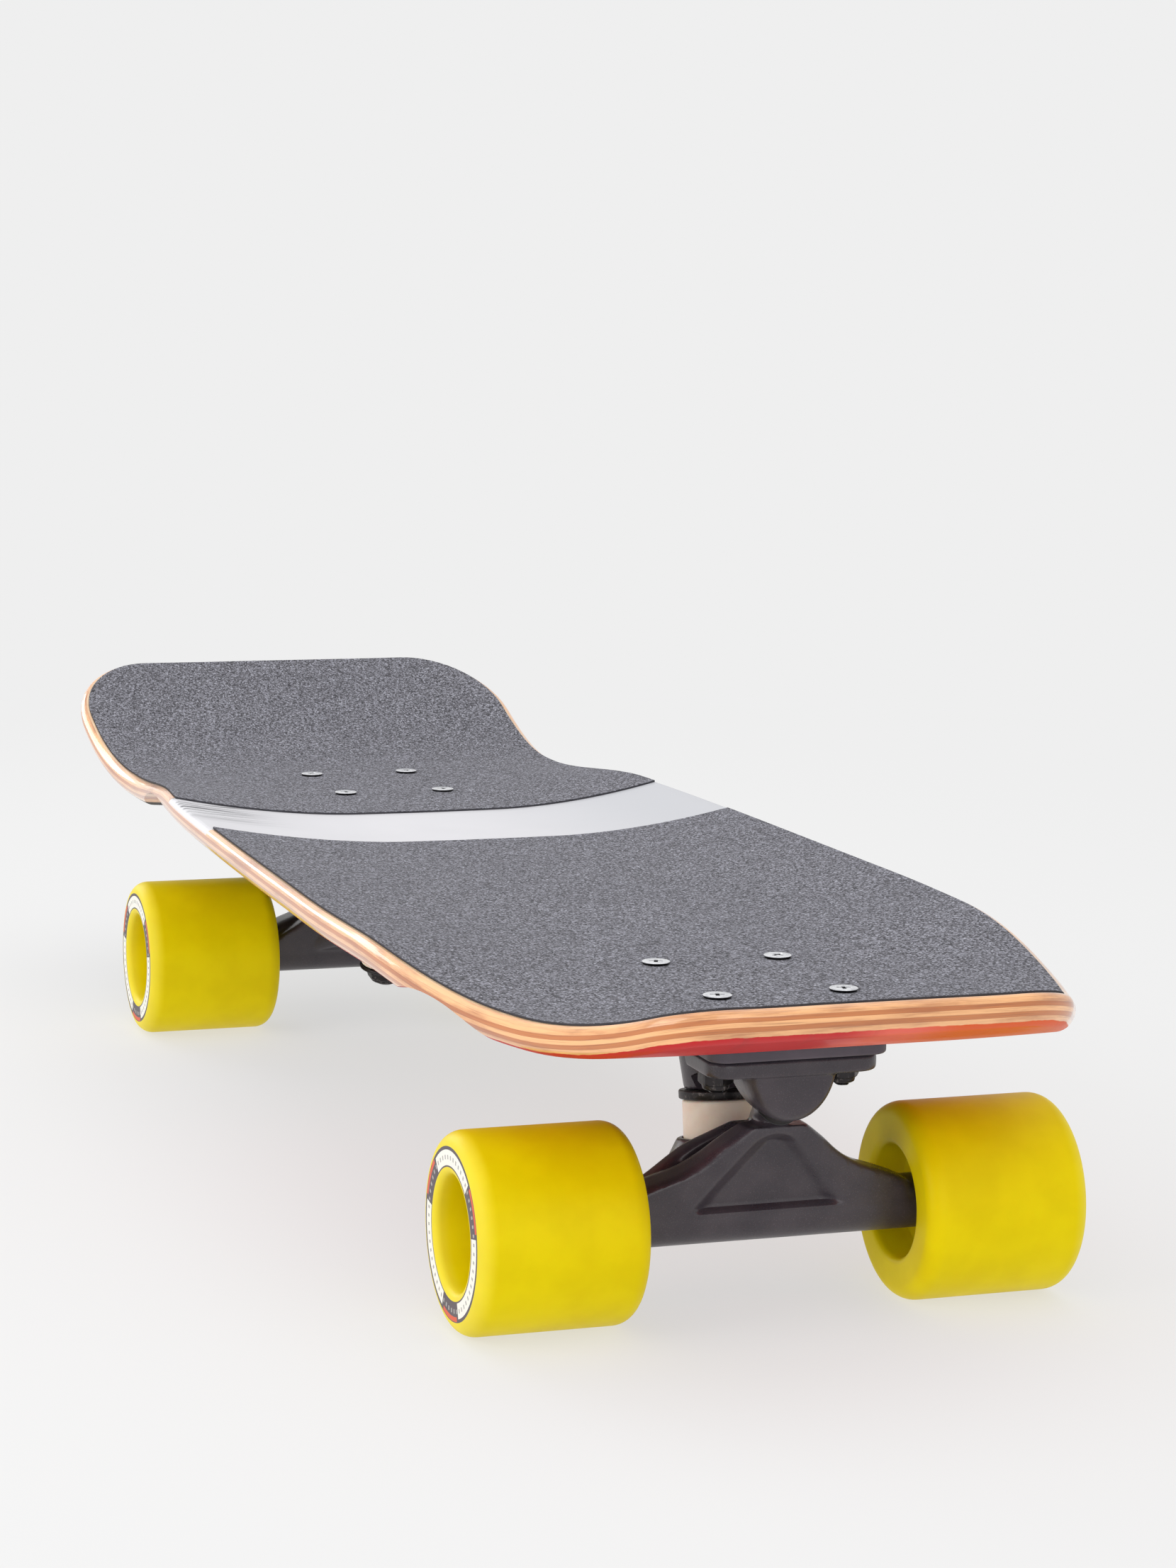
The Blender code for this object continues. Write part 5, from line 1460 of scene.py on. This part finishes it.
# The axle nuts: bright steel lock nuts that hold the wheels on. They are screwed down against the outer
# speed washers.

AXLE_NUT_FLATS = 12.7 * MM
AXLE_NUT_HEIGHT = 6.6 * MM
AXLE_NUT_GAP = 0.3 * MM
nut_near = CORE_MIDDLE + CORE_HALF + RACE_REACH + AXLE_NUT_GAP - WHEEL_MIDDLE
nut_far = nut_near + AXLE_NUT_HEIGHT
for end in AXLE_X:
    for side in SIDES:
        bm = bmesh.new()
        lock_nut(bm, AXLE_NUT_FLATS, AXLE_RADIUS, nut_near, nut_far, wheel_place(end, side))
        axle_nut = finish_mesh(f"axle_lock_nut_{end}_{side}", bm, axle_steel)
        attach(axle_nut, f"{end}_hanger")
        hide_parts(f"axle_nut_{end}_{side}")


# The studio: a pale floor that runs out of sight, and soft light from all round. The camera stands where
# the photograph's stood.

PHOTO_HEIGHT = 2212
FOCAL_PIXELS = 5207.5
SENSOR = 36.0
CAMERA_AT = (1292.5 * MM, -417.1 * MM, 328.0 * MM)
CAMERA_AZIMUTH = math.radians(70.83)
CAMERA_ELEVATION = math.radians(8.37)
CAMERA_ROLL = math.radians(0.90)
BACKGROUND = 0.863
SKY_LEVEL = 0.78
FLOOR_RADIUS = 6.0
FLOOR_STEPS = 96
FLOOR_FADE = (0.35, 1.3)
FLOOR_GLOW = 0.66
LAMP_AIM = Vector((0, 0, 50 * MM))
# Each lamp's name, watts, size and place.
LAMPS = (
    ("light_overhead", 6.0, 1.6, (0.1, 0.0, 1.7)),
    ("light_left", 12.0, 1.2, (0.5, -1.65, 0.75)),
    ("light_front", 5.0, 1.2, (1.9, -0.1, 0.5)),
    ("light_behind", 9.0, 1.0, (-1.9, -0.8, 0.75)),
)


def backdrop_finish():
    """The background's own colour, darkened only by shadow and only near the board."""
    material = bpy.data.materials.new("studio_floor")
    material.use_nodes = True
    material.node_tree.nodes.clear()
    paint = Wiring(material.node_tree)
    colour = (BACKGROUND, BACKGROUND, BACKGROUND, 1)
    place = paint.node("ShaderNodeTexCoord").outputs["Object"]
    far = paint.node("ShaderNodeVectorMath", {0: place}, operation="LENGTH").outputs["Value"]
    fade = {"Value": far, "From Min": FLOOR_FADE[0], "From Max": FLOOR_FADE[1], "To Min": FLOOR_GLOW}
    reach = paint.node("ShaderNodeMapRange", fade, interpolation_type="SMOOTHSTEP").outputs[0]
    matt = paint.node("ShaderNodeBsdfDiffuse", {"Color": colour}).outputs[0]
    glow = paint.node("ShaderNodeEmission", {"Color": colour}).outputs[0]
    mixed = paint.node("ShaderNodeMixShader", {0: reach, 1: matt, 2: glow}).outputs[0]
    paint.node("ShaderNodeOutputMaterial", {"Surface": mixed})
    return material


floor_mesh = bmesh.new()
bmesh.ops.create_circle(floor_mesh, cap_ends=True, segments=FLOOR_STEPS, radius=FLOOR_RADIUS)
floor = finish_mesh("studio_floor", floor_mesh, backdrop_finish())

scene = bpy.context.scene
world = bpy.data.worlds.new("studio")
scene.world = world
world.use_nodes = True
background = world.node_tree.nodes["Background"]
background.inputs["Color"].default_value = (1, 1, 1, 1)
sky = Wiring(world.node_tree)
rays = sky.node("ShaderNodeLightPath").outputs
seen = rays["Is Camera Ray"]
for mirrored in ("Is Glossy Ray", "Is Transmission Ray"):
    seen = sky.math("MAXIMUM", seen, rays[mirrored])
levels = {"Value": seen, "To Min": SKY_LEVEL, "To Max": BACKGROUND}
sky.wire(background.inputs["Strength"], sky.node("ShaderNodeMapRange", levels).outputs[0])

for name, watts, size, place in LAMPS:
    lamp = bpy.data.lights.new(name, "AREA")
    lamp.energy = watts
    lamp.size = size
    light = bpy.data.objects.new(name, lamp)
    light.location = place
    light.rotation_euler = (LAMP_AIM - Vector(place)).to_track_quat("-Z", "Y").to_euler()
    scene.collection.objects.link(light)

back = Vector((
    math.sin(CAMERA_AZIMUTH) * math.cos(CAMERA_ELEVATION),
    -math.cos(CAMERA_AZIMUTH) * math.cos(CAMERA_ELEVATION),
    math.sin(CAMERA_ELEVATION),
))
right = (-back).cross(Vector((0, 0, 1))).normalized()
up = right.cross(-back)
rolled_right = right * math.cos(CAMERA_ROLL) + up * math.sin(CAMERA_ROLL)
rolled_up = up * math.cos(CAMERA_ROLL) - right * math.sin(CAMERA_ROLL)
camera = bpy.data.objects.new("camera", bpy.data.cameras.new("camera"))
turned_to_board = Matrix((rolled_right, rolled_up, back)).transposed().to_4x4()
camera.matrix_world = Matrix.Translation(CAMERA_AT) @ turned_to_board
camera.data.sensor_width = SENSOR
camera.data.lens = FOCAL_PIXELS * SENSOR / PHOTO_HEIGHT
camera.data.clip_start = 0.05
camera.data.clip_end = 50
scene.collection.objects.link(camera)
scene.camera = camera
scene.view_settings.view_transform = "Standard"

bpy.context.view_layer.update()
